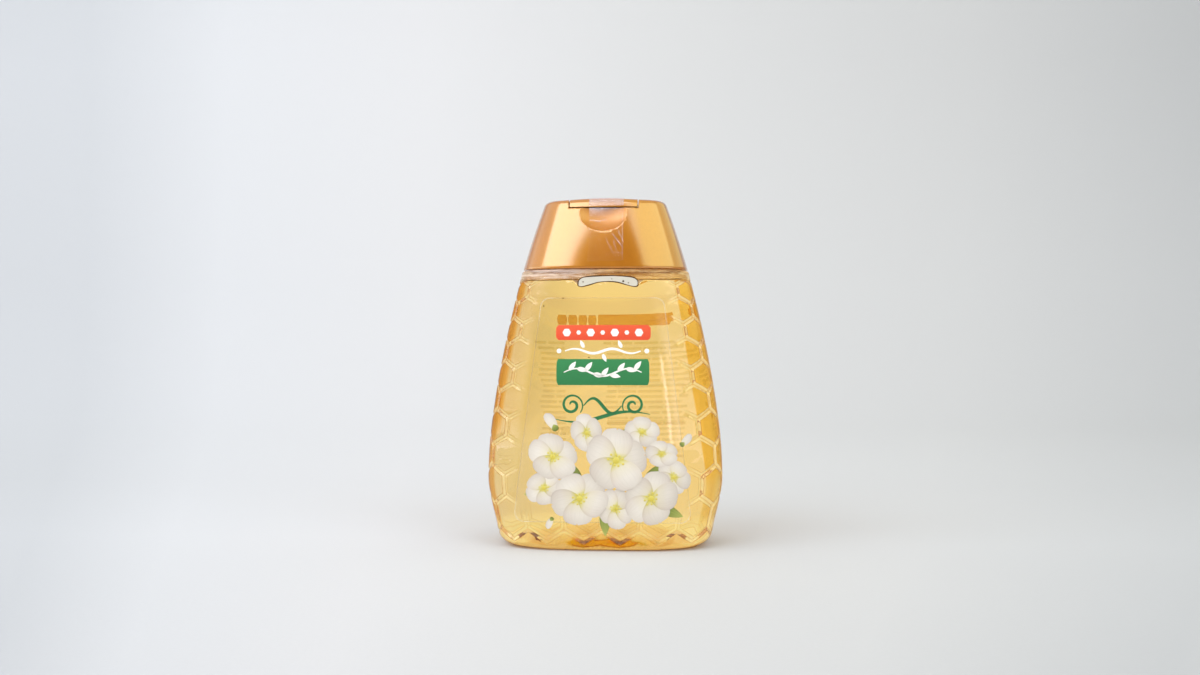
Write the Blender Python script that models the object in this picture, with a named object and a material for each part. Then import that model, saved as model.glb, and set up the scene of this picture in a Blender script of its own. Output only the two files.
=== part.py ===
"""Honey squeeze bottle with an oval flip-top cap.

Metres, +Z up, front facing -Y, origin in the middle of the standing face.
Every upright outline is a squared oval. A column number says how far round it
a point lies: columns are equally spaced, 0 at +X and a quarter turn at +Y.
"""

import math

import bmesh
import bpy
import numpy as np

MM = 0.001

# Bottle body
BODY_WIDTH = 75.8 * MM
BODY_DEPTH = 40.8 * MM
BODY_HEIGHT = 88.0 * MM
BODY_SQUARENESS = 3.3
BODY_TOP_SQUARENESS = 2.8
BODY_HEIGHT_SHARES = (0.0, 0.12, 0.23, 0.35, 0.55, 0.78, 1.0)
BODY_WIDTH_SHARES = (0.798, 0.917, 1.0, 0.976, 0.784, 0.43, 0.0)
BODY_DEPTH_SHARES = (0.703, 0.863, 1.0, 0.973, 0.78, 0.451, 0.0)
TOP_STAND_OUT = 0.2 * MM
WALL = 0.9 * MM
FLOOR = 1.3 * MM
HEEL_RADIUS = 2.6 * MM
HEEL_ANGLES = (25.0, 50.0, 72.0, 90.0)
INNER_HEEL_ANGLES = (90.0, 40.0, 0.0)
STANDING_RING = 3.2 * MM
PUSH_UP = 2.2 * MM
PUSH_UP_SLOPE = 7.0 * MM
PUSH_UP_SHARES = ((0.0, 0.0), (0.4, 0.75), (1.0, 0.95))

# Honeycomb relief
COLUMNS = 32
CELL_ROWS = 10
FIRST_ROW_HEIGHT = 10.2 * MM
ROW_PITCH = 10.0 * MM
ROW_PITCH_RATIO = 0.94
UPRIGHT_EDGE_SHARE = 0.66
RELIEF_DEPTH = 0.8 * MM
GROOVE_SLOPE = 1.3 * MM
SIDE_COLUMNS = 3
FOOT_ROW_HEIGHT = 8.5 * MM

# Shoulder and neck
BOSS_HEIGHT = 1.8 * MM
SHOULDER_RISE = 2.0 * MM
NECK_RADIUS = 8.5 * MM
NECK_WALL = 1.6 * MM
NECK_HEIGHT = 13.5 * MM
BEAD_STAND = 0.6 * MM
BEAD_DROP = 4.6 * MM
BEAD_WIDTH = 1.4 * MM

# Honey
HONEY_HEIGHT = 85.5 * MM
AIR_POCKET_DEPTH = 3.2 * MM

# Clearances between touching pieces, and the overrun of a cut
CLEARANCE = 0.3 * MM
LID_GAP = 0.35 * MM
OVERRUN = 1.0 * MM

# Cap
CAP_HEIGHT = 22.3 * MM
CAP_BASE_WIDTH = 53.6 * MM
CAP_BASE_DEPTH = 33.0 * MM
CAP_TOP_WIDTH = 38.9 * MM
CAP_TOP_DEPTH = 22.8 * MM
CAP_SQUARENESS = 2.8
CAP_BULGE = 0.25 * MM
CAP_EDGE_RADIUS = 1.4 * MM
CAP_WALL = 1.4 * MM
CAP_COLUMNS = 48
CAP_STEPS = 4

# Cap collar, which grips the neck and holds the valve
COLLAR_WALL = 1.2 * MM
COLLAR_SKIRT = 7.6 * MM
SNAP_GRIP = 0.35 * MM
VALVE_BORE_RADIUS = 7.85 * MM
ORIFICE_RADIUS = 3.8 * MM
SPOUT_HEIGHT = 1.0 * MM
SPOUT_WALL = 1.0 * MM

# Flip lid and its hinge
LID_WIDTH = 21.6 * MM
LID_THICKNESS = 2.5 * MM
LID_PLATE = 1.2 * MM
LID_WALL = 1.1 * MM
HINGE_SETBACK = 7.0 * MM
HINGE_WEB_WIDTH = 14.0 * MM
HINGE_WEB_LENGTH = 1.6 * MM
HINGE_WEB_THICKNESS = 0.4 * MM
PLUG_GAP = 0.4 * MM
PLUG_DEPTH = 2.2 * MM
PLUG_TAPER = 0.3 * MM

# Thumb notch
NOTCH_WIDTH = 14.4 * MM
NOTCH_DROP = 7.6 * MM
NOTCH_DEPTH = 2.8 * MM

# Valve and its retainer
VALVE_FLANGE = 1.1 * MM
VALVE_FLANGE_WALL = 1.6 * MM
VALVE_HEAD_THICKNESS = 0.6 * MM
VALVE_HEAD_DIP = 0.9 * MM
VALVE_MID_SHARES = (0.5, 0.75)
VALVE_SLIT = 0.25 * MM
RETAINER_HEIGHT = 1.6 * MM
RETAINER_WALL = 2.9 * MM

# Labels and tamper tape
LABEL_THICKNESS = 0.25 * MM
LABEL_BOTTOM = 9.0 * MM
LABEL_TOP = 79.0 * MM
LABEL_BOTTOM_WIDTH = 55.0 * MM
LABEL_TOP_WIDTH = 39.0 * MM
TAPE_WIDTH = 11.0 * MM
TAPE_OFFSET = 1.0 * MM
TAPE_THICKNESS = 0.2 * MM
TAPE_END_HEIGHT = 90.5 * MM
TAPE_TOP_LENGTH = 6.0 * MM

# Places that follow from the sizes above
LEDGE_Z = BODY_HEIGHT
BOSS_Z = LEDGE_Z + BOSS_HEIGHT
NECK_BASE_Z = BOSS_Z + SHOULDER_RISE
NECK_TOP_Z = BODY_HEIGHT + NECK_HEIGHT
NECK_BORE_RADIUS = NECK_RADIUS - NECK_WALL
BEAD_Z = NECK_TOP_Z - BEAD_DROP
CAP_Z = LEDGE_Z + CLEARANCE
CAP_TOP_Z = CAP_Z + CAP_HEIGHT
LID_BOTTOM_Z = CAP_TOP_Z - LID_THICKNESS
RECESS_Z = LID_BOTTOM_Z - LID_GAP
DECK_Z = RECESS_Z - CAP_WALL
COLLAR_STEP_Z = NECK_TOP_Z + CLEARANCE
COLLAR_BOTTOM_Z = COLLAR_STEP_Z - COLLAR_SKIRT
COLLAR_BORE_RADIUS = NECK_RADIUS + BEAD_STAND + CLEARANCE
HINGE_Z = CAP_TOP_Z
LID_BACK_Y = HINGE_SETBACK - HINGE_WEB_LENGTH / 2
RECESS_BACK_Y = HINGE_SETBACK + HINGE_WEB_LENGTH / 2
INNER_INSET = WALL + RELIEF_DEPTH


def remove_everything():
    for old in list(bpy.data.objects):
        bpy.data.objects.remove(old, do_unlink=True)


def make_material(name, colour, roughness, metallic=0.0, transmission=0.0):
    material = bpy.data.materials.new(name)
    material.use_nodes = True
    shader = material.node_tree.nodes["Principled BSDF"]
    shader.inputs["Base Color"].default_value = (*colour, 1.0)
    shader.inputs["Roughness"].default_value = roughness
    shader.inputs["Metallic"].default_value = metallic
    shader.inputs["Transmission Weight"].default_value = transmission
    material.diffuse_color = (*colour, 1.0)
    return material


def finish_object(name, mesh_builder, material, cutter=False):
    """Turns a filled bmesh into a named object, with smooth round faces."""
    bmesh.ops.recalc_face_normals(mesh_builder, faces=mesh_builder.faces)
    mesh = bpy.data.meshes.new(name)
    mesh_builder.to_mesh(mesh)
    mesh_builder.free()
    mesh.shade_smooth()
    mesh.set_sharp_from_angle(angle=math.radians(35))
    made = bpy.data.objects.new(name, mesh)
    bpy.context.scene.collection.objects.link(made)
    if cutter:
        made.hide_render = True
        made.display_type = "WIRE"
    else:
        mesh.materials.append(material)
    return made


def combine(target, tool, operation, name):
    modifier = target.modifiers.new(name, "BOOLEAN")
    modifier.operation = operation
    modifier.object = tool


def quarter_outline(half_width, half_depth, squareness, samples=129):
    """Points of a quarter of the squared oval, with the share of its length at each."""
    turn = np.linspace(0.0, 1.0, samples)
    angle = 0.25 * math.pi * (1.0 - np.cos(math.pi * turn))
    x = half_width * np.cos(angle).clip(0.0) ** (2.0 / squareness)
    y = half_depth * np.sin(angle).clip(0.0) ** (2.0 / squareness)
    length = np.concatenate([[0.0], np.cumsum(np.hypot(np.diff(x), np.diff(y)))])
    return x, y, length / length[-1]


def outline_point(column, columns, half_width, half_depth, squareness):
    """The point at a column of a squared oval, as (x, y)."""
    x, y, share = quarter_outline(half_width, half_depth, squareness)
    quarters = (column % columns) / columns * 4.0
    quarter = int(quarters)
    along = quarters - quarter
    if quarter % 2:
        along = 1.0 - along
    sign_x = -1.0 if quarter in (1, 2) else 1.0
    sign_y = -1.0 if quarter in (2, 3) else 1.0
    return sign_x * float(np.interp(along, share, x)), sign_y * float(np.interp(along, share, y))


def outline_ring(columns, half_width, half_depth, squareness, z):
    return [
        (*outline_point(column, columns, half_width, half_depth, squareness), z)
        for column in range(columns)
    ]


def circle_ring(columns, radius, z):
    return outline_ring(columns, radius, radius, 2.0, z)


def smooth_share(heights, shares, height):
    """A smooth curve through the shares, read at one height share."""
    slopes = np.gradient(np.array(shares), np.array(heights))
    index = int(np.clip(np.searchsorted(heights, height) - 1, 0, len(heights) - 2))
    span = heights[index + 1] - heights[index]
    t = (height - heights[index]) / span
    start, end = shares[index], shares[index + 1]
    rise_start, rise_end = slopes[index] * span, slopes[index + 1] * span
    return (
        (2 * t**3 - 3 * t**2 + 1) * start
        + (t**3 - 2 * t**2 + t) * rise_start
        + (3 * t**2 - 2 * t**3) * end
        + (t**3 - t**2) * rise_end
    )


def heel_inset(z):
    """How far the rounded heel draws the body in at a height."""
    if z >= HEEL_RADIUS:
        return 0.0
    return HEEL_RADIUS - math.sqrt(max(HEEL_RADIUS**2 - (HEEL_RADIUS - z) ** 2, 0.0))


def body_halves(z, inset=0.0):
    """Half the width and half the depth of the body at a height.

    The body swells out from its top, which is a little wider than the cap.
    """
    height = min(max(z / BODY_HEIGHT, 0.0), 1.0)
    top_width = CAP_BASE_WIDTH + 2 * TOP_STAND_OUT
    top_depth = CAP_BASE_DEPTH + 2 * TOP_STAND_OUT
    swell_x = smooth_share(BODY_HEIGHT_SHARES, BODY_WIDTH_SHARES, height)
    swell_y = smooth_share(BODY_HEIGHT_SHARES, BODY_DEPTH_SHARES, height)
    width = top_width + (BODY_WIDTH - top_width) * swell_x
    depth = top_depth + (BODY_DEPTH - top_depth) * swell_y
    drawn_in = inset + heel_inset(z)
    return width / 2 - drawn_in, depth / 2 - drawn_in


def body_squareness(z):
    """How square the body's outline is at a height: rounder towards the cap."""
    share = min(max(z / BODY_HEIGHT, 0.0), 1.0)
    return BODY_SQUARENESS + (BODY_TOP_SQUARENESS - BODY_SQUARENESS) * share**2


def body_point(column, z, inset=0.0):
    x, y = outline_point(column, COLUMNS, *body_halves(z, inset), body_squareness(z))
    return x, y, z


def body_ring(z, inset=0.0):
    return [body_point(column, z, inset) for column in range(COLUMNS)]


def foot_ring(inset, z):
    """The outline of the body just above its heel, drawn in and put at a height."""
    return [(x, y, z) for x, y, _ in body_ring(HEEL_RADIUS, inset)]


def cap_halves(z, inset=0.0):
    """Half the width and half the depth of the cap's outside at a height."""
    share = min(max((z - CAP_Z) / CAP_HEIGHT, 0.0), 1.0)
    bulge = CAP_BULGE * math.sin(math.pi * share)
    width = CAP_BASE_WIDTH + (CAP_TOP_WIDTH - CAP_BASE_WIDTH) * share
    depth = CAP_BASE_DEPTH + (CAP_TOP_DEPTH - CAP_BASE_DEPTH) * share
    above = max(z - (CAP_TOP_Z - CAP_EDGE_RADIUS), 0.0)
    rounding = CAP_EDGE_RADIUS - math.sqrt(max(CAP_EDGE_RADIUS**2 - above**2, 0.0))
    return width / 2 + bulge - rounding - inset, depth / 2 + bulge - rounding - inset


def add_ring(builder, points):
    return [builder.verts.new(point) for point in points]


def bridge(builder, lower, upper):
    for index, vertex in enumerate(lower):
        after = (index + 1) % len(lower)
        builder.faces.new((vertex, lower[after], upper[after], upper[index]))


def cover(builder, ring, z):
    """Closes a ring with a fan of triangles round a middle point."""
    middle = builder.verts.new((0.0, 0.0, z))
    for index, vertex in enumerate(ring):
        builder.faces.new((vertex, ring[(index + 1) % len(ring)], middle))


def stack(builder, rings, bottom_z=None, top_z=None):
    """Joins rings from first to last, with a cover on either end that has a height."""
    made = [add_ring(builder, ring) for ring in rings]
    for lower, upper in zip(made, made[1:]):
        bridge(builder, lower, upper)
    if bottom_z is not None:
        cover(builder, made[0], bottom_z)
    if top_z is not None:
        cover(builder, made[-1], top_z)
    return made


def turned_cutter(name, profile):
    """A solid of revolution from (radius, z) points, as a tool for a Boolean."""
    builder = bmesh.new()
    rings = [circle_ring(CAP_COLUMNS, radius, z) for radius, z in profile]
    stack(builder, rings, profile[0][1], profile[-1][1])
    return finish_object(name, builder, None, cutter=True)


def turned_ring(name, profile, material):
    """A turned shape with a hole: the profile closes on itself."""
    builder = bmesh.new()
    made = [add_ring(builder, circle_ring(CAP_COLUMNS, radius, z)) for radius, z in profile]
    for lower, upper in zip(made, made[1:] + made[:1]):
        bridge(builder, lower, upper)
    return finish_object(name, builder, material)


def block(name, low, high, material=None, cutter=True):
    builder = bmesh.new()
    corners = [
        builder.verts.new((x, y, z))
        for z in (low[2], high[2])
        for x, y in ((low[0], low[1]), (high[0], low[1]), (high[0], high[1]), (low[0], high[1]))
    ]
    builder.faces.new(corners[:4])
    builder.faces.new(corners[4:])
    for index in range(4):
        after = (index + 1) % 4
        builder.faces.new((corners[index], corners[after], corners[after + 4], corners[index + 4]))
    return finish_object(name, builder, material, cutter)


def row_pitch(row):
    return ROW_PITCH * ROW_PITCH_RATIO**row


def row_height(row):
    """The middle height of a row of cells. Row -1 lies below the first."""
    if row < 0:
        return FIRST_ROW_HEIGHT - row_pitch(row)
    return FIRST_ROW_HEIGHT + sum(row_pitch(below) for below in range(row))


def half_edge(row):
    """Half the length of the upright cell edges in a row."""
    return UPRIGHT_EDGE_SHARE * 0.25 * (row_pitch(row - 1) + row_pitch(row))


def relief_share(column, z):
    """One where the honeycomb has its full depth, nothing on the smooth panels."""
    quarter = COLUMNS // 4
    from_side = abs((column + quarter) % (COLUMNS // 2) - quarter)
    return 1.0 if from_side <= SIDE_COLUMNS or z < FOOT_ROW_HEIGHT else 0.0


def add_honeycomb(builder):
    """The relief of the body, as cells with flat tops. Returns its lowest and highest zigzag."""
    corner = {}

    def corner_vertex(row, column, end):
        column %= COLUMNS
        key = (row, column, end)
        if key not in corner:
            z = row_height(row) + end * half_edge(row)
            sunk = RELIEF_DEPTH * relief_share(column, z)
            corner[key] = builder.verts.new(body_point(column, z, sunk))
        return corner[key]

    for row in range(CELL_ROWS):
        cell_slope = GROOVE_SLOPE / (UPRIGHT_EDGE_SHARE * row_pitch(row))
        for column in range(COLUMNS):
            if (row + column) % 2 == 0:
                continue
            keys = (
                (row - 1, column, 1),
                (row, column + 1, -1),
                (row, column + 1, 1),
                (row + 1, column, -1),
                (row, column - 1, 1),
                (row, column - 1, -1),
            )
            rim = [corner_vertex(*key) for key in keys]
            top = []
            for at_row, at_column, end in keys:
                z = row_height(at_row) + end * half_edge(at_row)
                raised_column = at_column + (column - at_column) * cell_slope
                raised_z = z + (row_height(row) - z) * cell_slope
                top.append(builder.verts.new(body_point(raised_column, raised_z)))
            middle = builder.verts.new(body_point(column, row_height(row)))
            for index in range(6):
                after = (index + 1) % 6
                builder.faces.new((rim[index], rim[after], top[after], top[index]))
                builder.faces.new((top[index], top[after], middle))
    low = [
        corner_vertex(0, column, -1) if column % 2 == 0 else corner_vertex(-1, column, 1)
        for column in range(COLUMNS)
    ]
    parity = CELL_ROWS % 2
    high = [
        corner_vertex(CELL_ROWS, column, -1)
        if column % 2 == parity
        else corner_vertex(CELL_ROWS - 1, column, 1)
        for column in range(COLUMNS)
    ]
    return low, high


def inner_rings(extra, top_z):
    """Rings up the inside of the body, from its floor to a height."""
    rings = []
    for degrees in INNER_HEEL_ANGLES:
        angle = math.radians(degrees)
        drawn = INNER_INSET + extra + HEEL_RADIUS * (1.0 - math.cos(angle))
        rings.append(foot_ring(drawn, FLOOR + extra + HEEL_RADIUS * (1.0 - math.sin(angle))))
    rings += [body_ring(row_height(row), INNER_INSET + extra) for row in range(CELL_ROWS)]
    rings.append(body_ring(top_z, INNER_INSET + extra))
    return rings


def floor_rings(lift, inset, z):
    """Rings over the pushed-up middle of the base, from the rim inwards."""
    return [
        foot_ring(inset + STANDING_RING + PUSH_UP_SLOPE * share, z + lift * rise)
        for share, rise in PUSH_UP_SHARES
    ]


def boss_halves(inset=0.0):
    """The boss on the body's top, which just clears the inside of the cap."""
    return cap_halves(BOSS_Z, CAP_WALL + CLEARANCE + inset)


def make_bottle():
    builder = bmesh.new()
    low, high = add_honeycomb(builder)

    # Heel, standing ring and pushed-up base
    heel = [body_ring(HEEL_RADIUS * (1.0 - math.sin(math.radians(angle)))) for angle in HEEL_ANGLES]
    base = heel + floor_rings(PUSH_UP, HEEL_RADIUS, 0.0)
    made = stack(builder, base)
    bridge(builder, made[0], low)
    cover(builder, made[-1], PUSH_UP)

    # Ledge, boss, shoulder and the outside of the neck
    boss = boss_halves()
    outside = [
        body_ring(LEDGE_Z - RELIEF_DEPTH),
        body_ring(LEDGE_Z),
        outline_ring(COLUMNS, *boss, CAP_SQUARENESS, LEDGE_Z),
        outline_ring(COLUMNS, *boss, CAP_SQUARENESS, BOSS_Z),
        circle_ring(COLUMNS, NECK_RADIUS + WALL, NECK_BASE_Z - WALL),
        circle_ring(COLUMNS, NECK_RADIUS, NECK_BASE_Z),
        circle_ring(COLUMNS, NECK_RADIUS, BEAD_Z - BEAD_WIDTH / 2),
        circle_ring(COLUMNS, NECK_RADIUS + BEAD_STAND, BEAD_Z),
        circle_ring(COLUMNS, NECK_RADIUS + BEAD_STAND, BEAD_Z + BEAD_WIDTH / 2),
        circle_ring(COLUMNS, NECK_RADIUS, BEAD_Z + BEAD_WIDTH),
        circle_ring(COLUMNS, NECK_RADIUS, NECK_TOP_Z),
    ]
    made = stack(builder, outside)
    bridge(builder, high, made[0])
    lip = made[-1]

    # Inside, from the mouth down to the floor
    shoulder = boss_halves(WALL)
    inside = [
        circle_ring(COLUMNS, NECK_BORE_RADIUS, NECK_TOP_Z),
        circle_ring(COLUMNS, NECK_BORE_RADIUS, NECK_BASE_Z - WALL),
        outline_ring(COLUMNS, *shoulder, CAP_SQUARENESS, BOSS_Z - WALL),
        outline_ring(COLUMNS, *shoulder, CAP_SQUARENESS, LEDGE_Z - WALL),
    ]
    inside += inner_rings(0.0, LEDGE_Z - WALL - RELIEF_DEPTH)[::-1]
    inside += floor_rings(PUSH_UP, HEEL_RADIUS + INNER_INSET, FLOOR)[1:]
    made = stack(builder, inside)
    bridge(builder, lip, made[0])
    cover(builder, made[-1], FLOOR + PUSH_UP)
    colour = make_material("clear_pet", (0.93, 0.88, 0.72), 0.05, transmission=0.9)
    return finish_object("bottle", builder, colour)


def make_honey():
    builder = bmesh.new()
    rings = inner_rings(CLEARANCE, HONEY_HEIGHT)
    surface = rings[-1]
    front = COLUMNS * 3 // 4
    for column in (front - 1, front, front + 1):
        x, y, z = surface[column]
        surface[column] = (x, y, z - AIR_POCKET_DEPTH)
    base = floor_rings(PUSH_UP, HEEL_RADIUS + INNER_INSET + CLEARANCE, FLOOR + CLEARANCE)[:0:-1]
    stack(builder, base + rings, FLOOR + PUSH_UP + CLEARANCE, HONEY_HEIGHT)
    colour = make_material("honey", (0.86, 0.56, 0.13), 0.08, transmission=0.6)
    return finish_object("honey_fill", builder, colour)


def film(name, across, along, point_at, colour):
    """A thin closed sheet. point_at(i, j, lift) gives a point of it."""
    builder = bmesh.new()
    sides = []
    for lift in (0.0, 1.0):
        sides.append(
            [[builder.verts.new(point_at(i, j, lift)) for i in range(across + 1)] for j in range(along + 1)]
        )
    for grid in sides:
        for j in range(along):
            for i in range(across):
                builder.faces.new((grid[j][i], grid[j][i + 1], grid[j + 1][i + 1]))
                builder.faces.new((grid[j][i], grid[j + 1][i + 1], grid[j + 1][i]))
    under, over = sides
    rim = [(0, i) for i in range(across)]
    rim += [(j, across) for j in range(along)]
    rim += [(along, i) for i in range(across, 0, -1)]
    rim += [(j, 0) for j in range(along, 0, -1)]
    for index, (j, i) in enumerate(rim):
        next_j, next_i = rim[(index + 1) % len(rim)]
        builder.faces.new((under[j][i], under[next_j][next_i], over[next_j][next_i], over[j][i]))
    return finish_object(name, builder, colour)


def make_label(name, facing, colour, across=10, along=7):
    """A film on the smooth panel that faces -Y (facing -1) or +Y (facing 1)."""

    def point_at(i, j, lift):
        share = j / along
        z = LABEL_BOTTOM + (LABEL_TOP - LABEL_BOTTOM) * share
        width = LABEL_BOTTOM_WIDTH + (LABEL_TOP_WIDTH - LABEL_BOTTOM_WIDTH) * share
        x = width * (i / across - 0.5)
        half_width, half_depth = body_halves(z, -(CLEARANCE + LABEL_THICKNESS * lift))
        squareness = body_squareness(z)
        reach = (1.0 - abs(x / half_width) ** squareness) ** (1.0 / squareness)
        return x, facing * half_depth * reach, z

    return film(name, across, along, point_at, colour)


def cap_front(x, z, lift):
    """The depth of the cap's front face at a place, and lifted off it."""
    half_width, half_depth = cap_halves(z, -lift)
    reach = (1.0 - abs(x / half_width) ** CAP_SQUARENESS) ** (1.0 / CAP_SQUARENESS)
    return -half_depth * reach


def tape_x(i, across):
    return TAPE_OFFSET + TAPE_WIDTH * (i / across - 0.5)


def make_cap_tape(colour, across=4, along=5):
    """The strip's lower part, down the cap's front and straight over the notch."""
    top_z = LID_BOTTOM_Z - CLEARANCE

    def point_at(i, j, lift):
        x = tape_x(i, across)
        z = TAPE_END_HEIGHT + (top_z - TAPE_END_HEIGHT) * j / along
        return x, cap_front(x, z, CLEARANCE + TAPE_THICKNESS * lift), z

    return film("seal_tape_cap", across, along, point_at, colour)


def make_lid_tape(colour, across=4, arc_steps=4):
    """The strip's upper part, up the lid's front edge and back along its top."""
    shoulder_z = CAP_TOP_Z - CAP_EDGE_RADIUS
    bottom_z = LID_BOTTOM_Z + CLEARANCE

    def point_at(i, j, lift):
        x = tape_x(i, across)
        off = CLEARANCE + TAPE_THICKNESS * lift
        if j == 0:
            return x, cap_front(x, bottom_z, off), bottom_z
        angle = 0.5 * math.pi * min(j - 1, arc_steps) / arc_steps
        radius = CAP_EDGE_RADIUS + off
        centre = cap_front(x, shoulder_z, 0.0) + CAP_EDGE_RADIUS
        y = centre - radius * math.cos(angle)
        z = shoulder_z + radius * math.sin(angle)
        if j > arc_steps + 1:
            y = cap_front(0.0, shoulder_z, 0.0) + CAP_EDGE_RADIUS + TAPE_TOP_LENGTH
        return x, y, z

    return film("seal_tape_lid", across, arc_steps + 2, point_at, colour)


def cap_outside(name, inset=0.0, low=CAP_Z, high=CAP_TOP_Z, cutter=False, colour=None):
    """The cap's outer form, or the same form drawn in to cut its hollow."""
    builder = bmesh.new()
    straight_top = CAP_TOP_Z - CAP_EDGE_RADIUS
    if inset > 0:
        heights = np.linspace(low, high, CAP_STEPS + 1)
    else:
        arc = np.linspace(0.0, 0.5 * math.pi, CAP_STEPS + 1)[1:]
        heights = list(np.linspace(low, straight_top, CAP_STEPS + 1))
        heights += [straight_top + CAP_EDGE_RADIUS * math.sin(angle) for angle in arc]
    rings = [
        outline_ring(CAP_COLUMNS, *cap_halves(float(z), inset), CAP_SQUARENESS, float(z))
        for z in heights
    ]
    stack(builder, rings, float(heights[0]), float(heights[-1]))
    return finish_object(name, builder, colour, cutter)


def notch_form(name, grown=0.0, columns=24, rows=9):
    """An egg-shaped cutter for the thumb notch, or its grown form that backs it."""
    middle_y = cap_front(0.0, LID_BOTTOM_Z, 0.0)
    radii = (NOTCH_WIDTH / 2 + grown, NOTCH_DEPTH + grown, NOTCH_DROP + grown)
    builder = bmesh.new()
    rings = []
    for row in range(1, rows):
        polar = math.pi * (row / rows - 0.5)
        rings.append(
            [
                (
                    radii[0] * math.cos(polar) * math.cos(2 * math.pi * column / columns),
                    middle_y + radii[1] * math.cos(polar) * math.sin(2 * math.pi * column / columns),
                    LID_BOTTOM_Z + radii[2] * math.sin(polar),
                )
                for column in range(columns)
            ]
        )
    made = stack(builder, rings)
    for ring, z in ((made[0], LID_BOTTOM_Z - radii[2]), (made[-1], LID_BOTTOM_Z + radii[2])):
        pole = builder.verts.new((0.0, middle_y, z))
        for index, vertex in enumerate(ring):
            builder.faces.new((vertex, ring[(index + 1) % columns], pole))
    return finish_object(name, builder, None, cutter=True)


def make_cap(colour):
    cap = cap_outside("cap_body", colour=colour)
    recess_half = LID_WIDTH / 2 + LID_GAP
    front_y = -CAP_BASE_DEPTH

    # Hollow of the skirt, less the walls that stand in it
    hollow = cap_outside("hollow_cutter", CAP_WALL, CAP_Z - OVERRUN, CAP_TOP_Z - CAP_WALL, cutter=True)
    floor_keep = block(
        "floor_keep",
        (-recess_half - CAP_WALL, front_y, DECK_Z),
        (recess_half + CAP_WALL, RECESS_BACK_Y + CAP_WALL, CAP_TOP_Z + OVERRUN),
    )
    notch_keep = notch_form("notch_keep", CAP_WALL)
    collar_keep = turned_cutter(
        "collar_keep",
        (
            (COLLAR_BORE_RADIUS + COLLAR_WALL, COLLAR_BOTTOM_Z),
            (COLLAR_BORE_RADIUS + COLLAR_WALL, COLLAR_STEP_Z + COLLAR_WALL),
            (VALVE_BORE_RADIUS + COLLAR_WALL, COLLAR_STEP_Z + COLLAR_WALL),
            (VALVE_BORE_RADIUS + COLLAR_WALL, CAP_TOP_Z),
        ),
    )
    for keep in (floor_keep, notch_keep, collar_keep):
        combine(hollow, keep, "DIFFERENCE", keep.name)

    # Bore of the collar, with the bead that snaps under the neck's bead
    bead_bottom = BEAD_Z - BEAD_WIDTH
    bore = turned_cutter(
        "bore_cutter",
        (
            (COLLAR_BORE_RADIUS, COLLAR_BOTTOM_Z - OVERRUN),
            (COLLAR_BORE_RADIUS, bead_bottom - SNAP_GRIP * 2),
            (COLLAR_BORE_RADIUS - SNAP_GRIP - CLEARANCE / 2, bead_bottom - SNAP_GRIP),
            (COLLAR_BORE_RADIUS - SNAP_GRIP - CLEARANCE / 2, bead_bottom),
            (COLLAR_BORE_RADIUS, bead_bottom + SNAP_GRIP),
            (COLLAR_BORE_RADIUS, COLLAR_STEP_Z),
            (VALVE_BORE_RADIUS, COLLAR_STEP_Z),
            (VALVE_BORE_RADIUS, DECK_Z),
            (ORIFICE_RADIUS, DECK_Z),
            (ORIFICE_RADIUS, RECESS_Z + OVERRUN),
        ),
    )
    recess = block(
        "recess_cutter",
        (-recess_half, front_y, RECESS_Z),
        (recess_half, RECESS_BACK_Y, CAP_TOP_Z + OVERRUN),
    )
    notch = notch_form("notch_cutter")
    spout = spout_form(colour)
    combine(cap, hollow, "DIFFERENCE", "hollow")
    combine(cap, recess, "DIFFERENCE", "lid_recess")
    combine(cap, notch, "DIFFERENCE", "thumb_notch")
    combine(cap, bore, "DIFFERENCE", "collar_bore")
    combine(cap, spout, "UNION", "spout_ring")
    return cap


def spout_form(colour):
    """The ring that stands round the orifice, sunk a little into the recess floor."""
    outer = ORIFICE_RADIUS + SPOUT_WALL
    sunk_z = RECESS_Z - SPOUT_WALL / 2
    profile = (
        (ORIFICE_RADIUS, sunk_z),
        (outer, sunk_z),
        (outer, RECESS_Z + SPOUT_HEIGHT),
        (ORIFICE_RADIUS, RECESS_Z + SPOUT_HEIGHT),
    )
    spout = turned_ring("spout_form", profile, colour)
    spout.hide_render = True
    spout.display_type = "WIRE"
    return spout


def make_lid(colour):
    """The tongue that fills the recess, hollow below and behind, with its sealing plug."""
    lid = cap_outside("flip_lid", colour=colour)
    half = LID_WIDTH / 2
    front_y = -CAP_BASE_DEPTH
    tongue = block("tongue_form", (-half, front_y, LID_BOTTOM_Z), (half, LID_BACK_Y, CAP_TOP_Z + OVERRUN))
    combine(lid, tongue, "INTERSECT", "tongue")
    front_wall_y = cap_front(half, LID_BOTTOM_Z, 0.0) + LID_WALL
    pocket = block(
        "pocket_cutter",
        (-half + LID_WALL, front_wall_y, LID_BOTTOM_Z - OVERRUN),
        (half - LID_WALL, LID_BACK_Y + OVERRUN, CAP_TOP_Z - LID_PLATE),
    )
    combine(lid, pocket, "DIFFERENCE", "pocket")
    plug_radius = ORIFICE_RADIUS - PLUG_GAP
    plug_bottom = CAP_TOP_Z - LID_PLATE - PLUG_DEPTH
    plug = turned_cutter(
        "plug_form",
        (
            (plug_radius - PLUG_TAPER, plug_bottom),
            (plug_radius, plug_bottom + PLUG_TAPER * 2),
            (plug_radius, CAP_TOP_Z - LID_PLATE / 2),
        ),
    )
    combine(lid, plug, "UNION", "sealing_plug")
    hinge_line = bpy.data.objects.new("lid_hinge_line", None)
    hinge_line.location = (0.0, HINGE_SETBACK, HINGE_Z)
    bpy.context.scene.collection.objects.link(hinge_line)
    lid.parent = hinge_line
    lid.matrix_parent_inverse.translation = (0.0, -HINGE_SETBACK, -HINGE_Z)
    return lid


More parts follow.
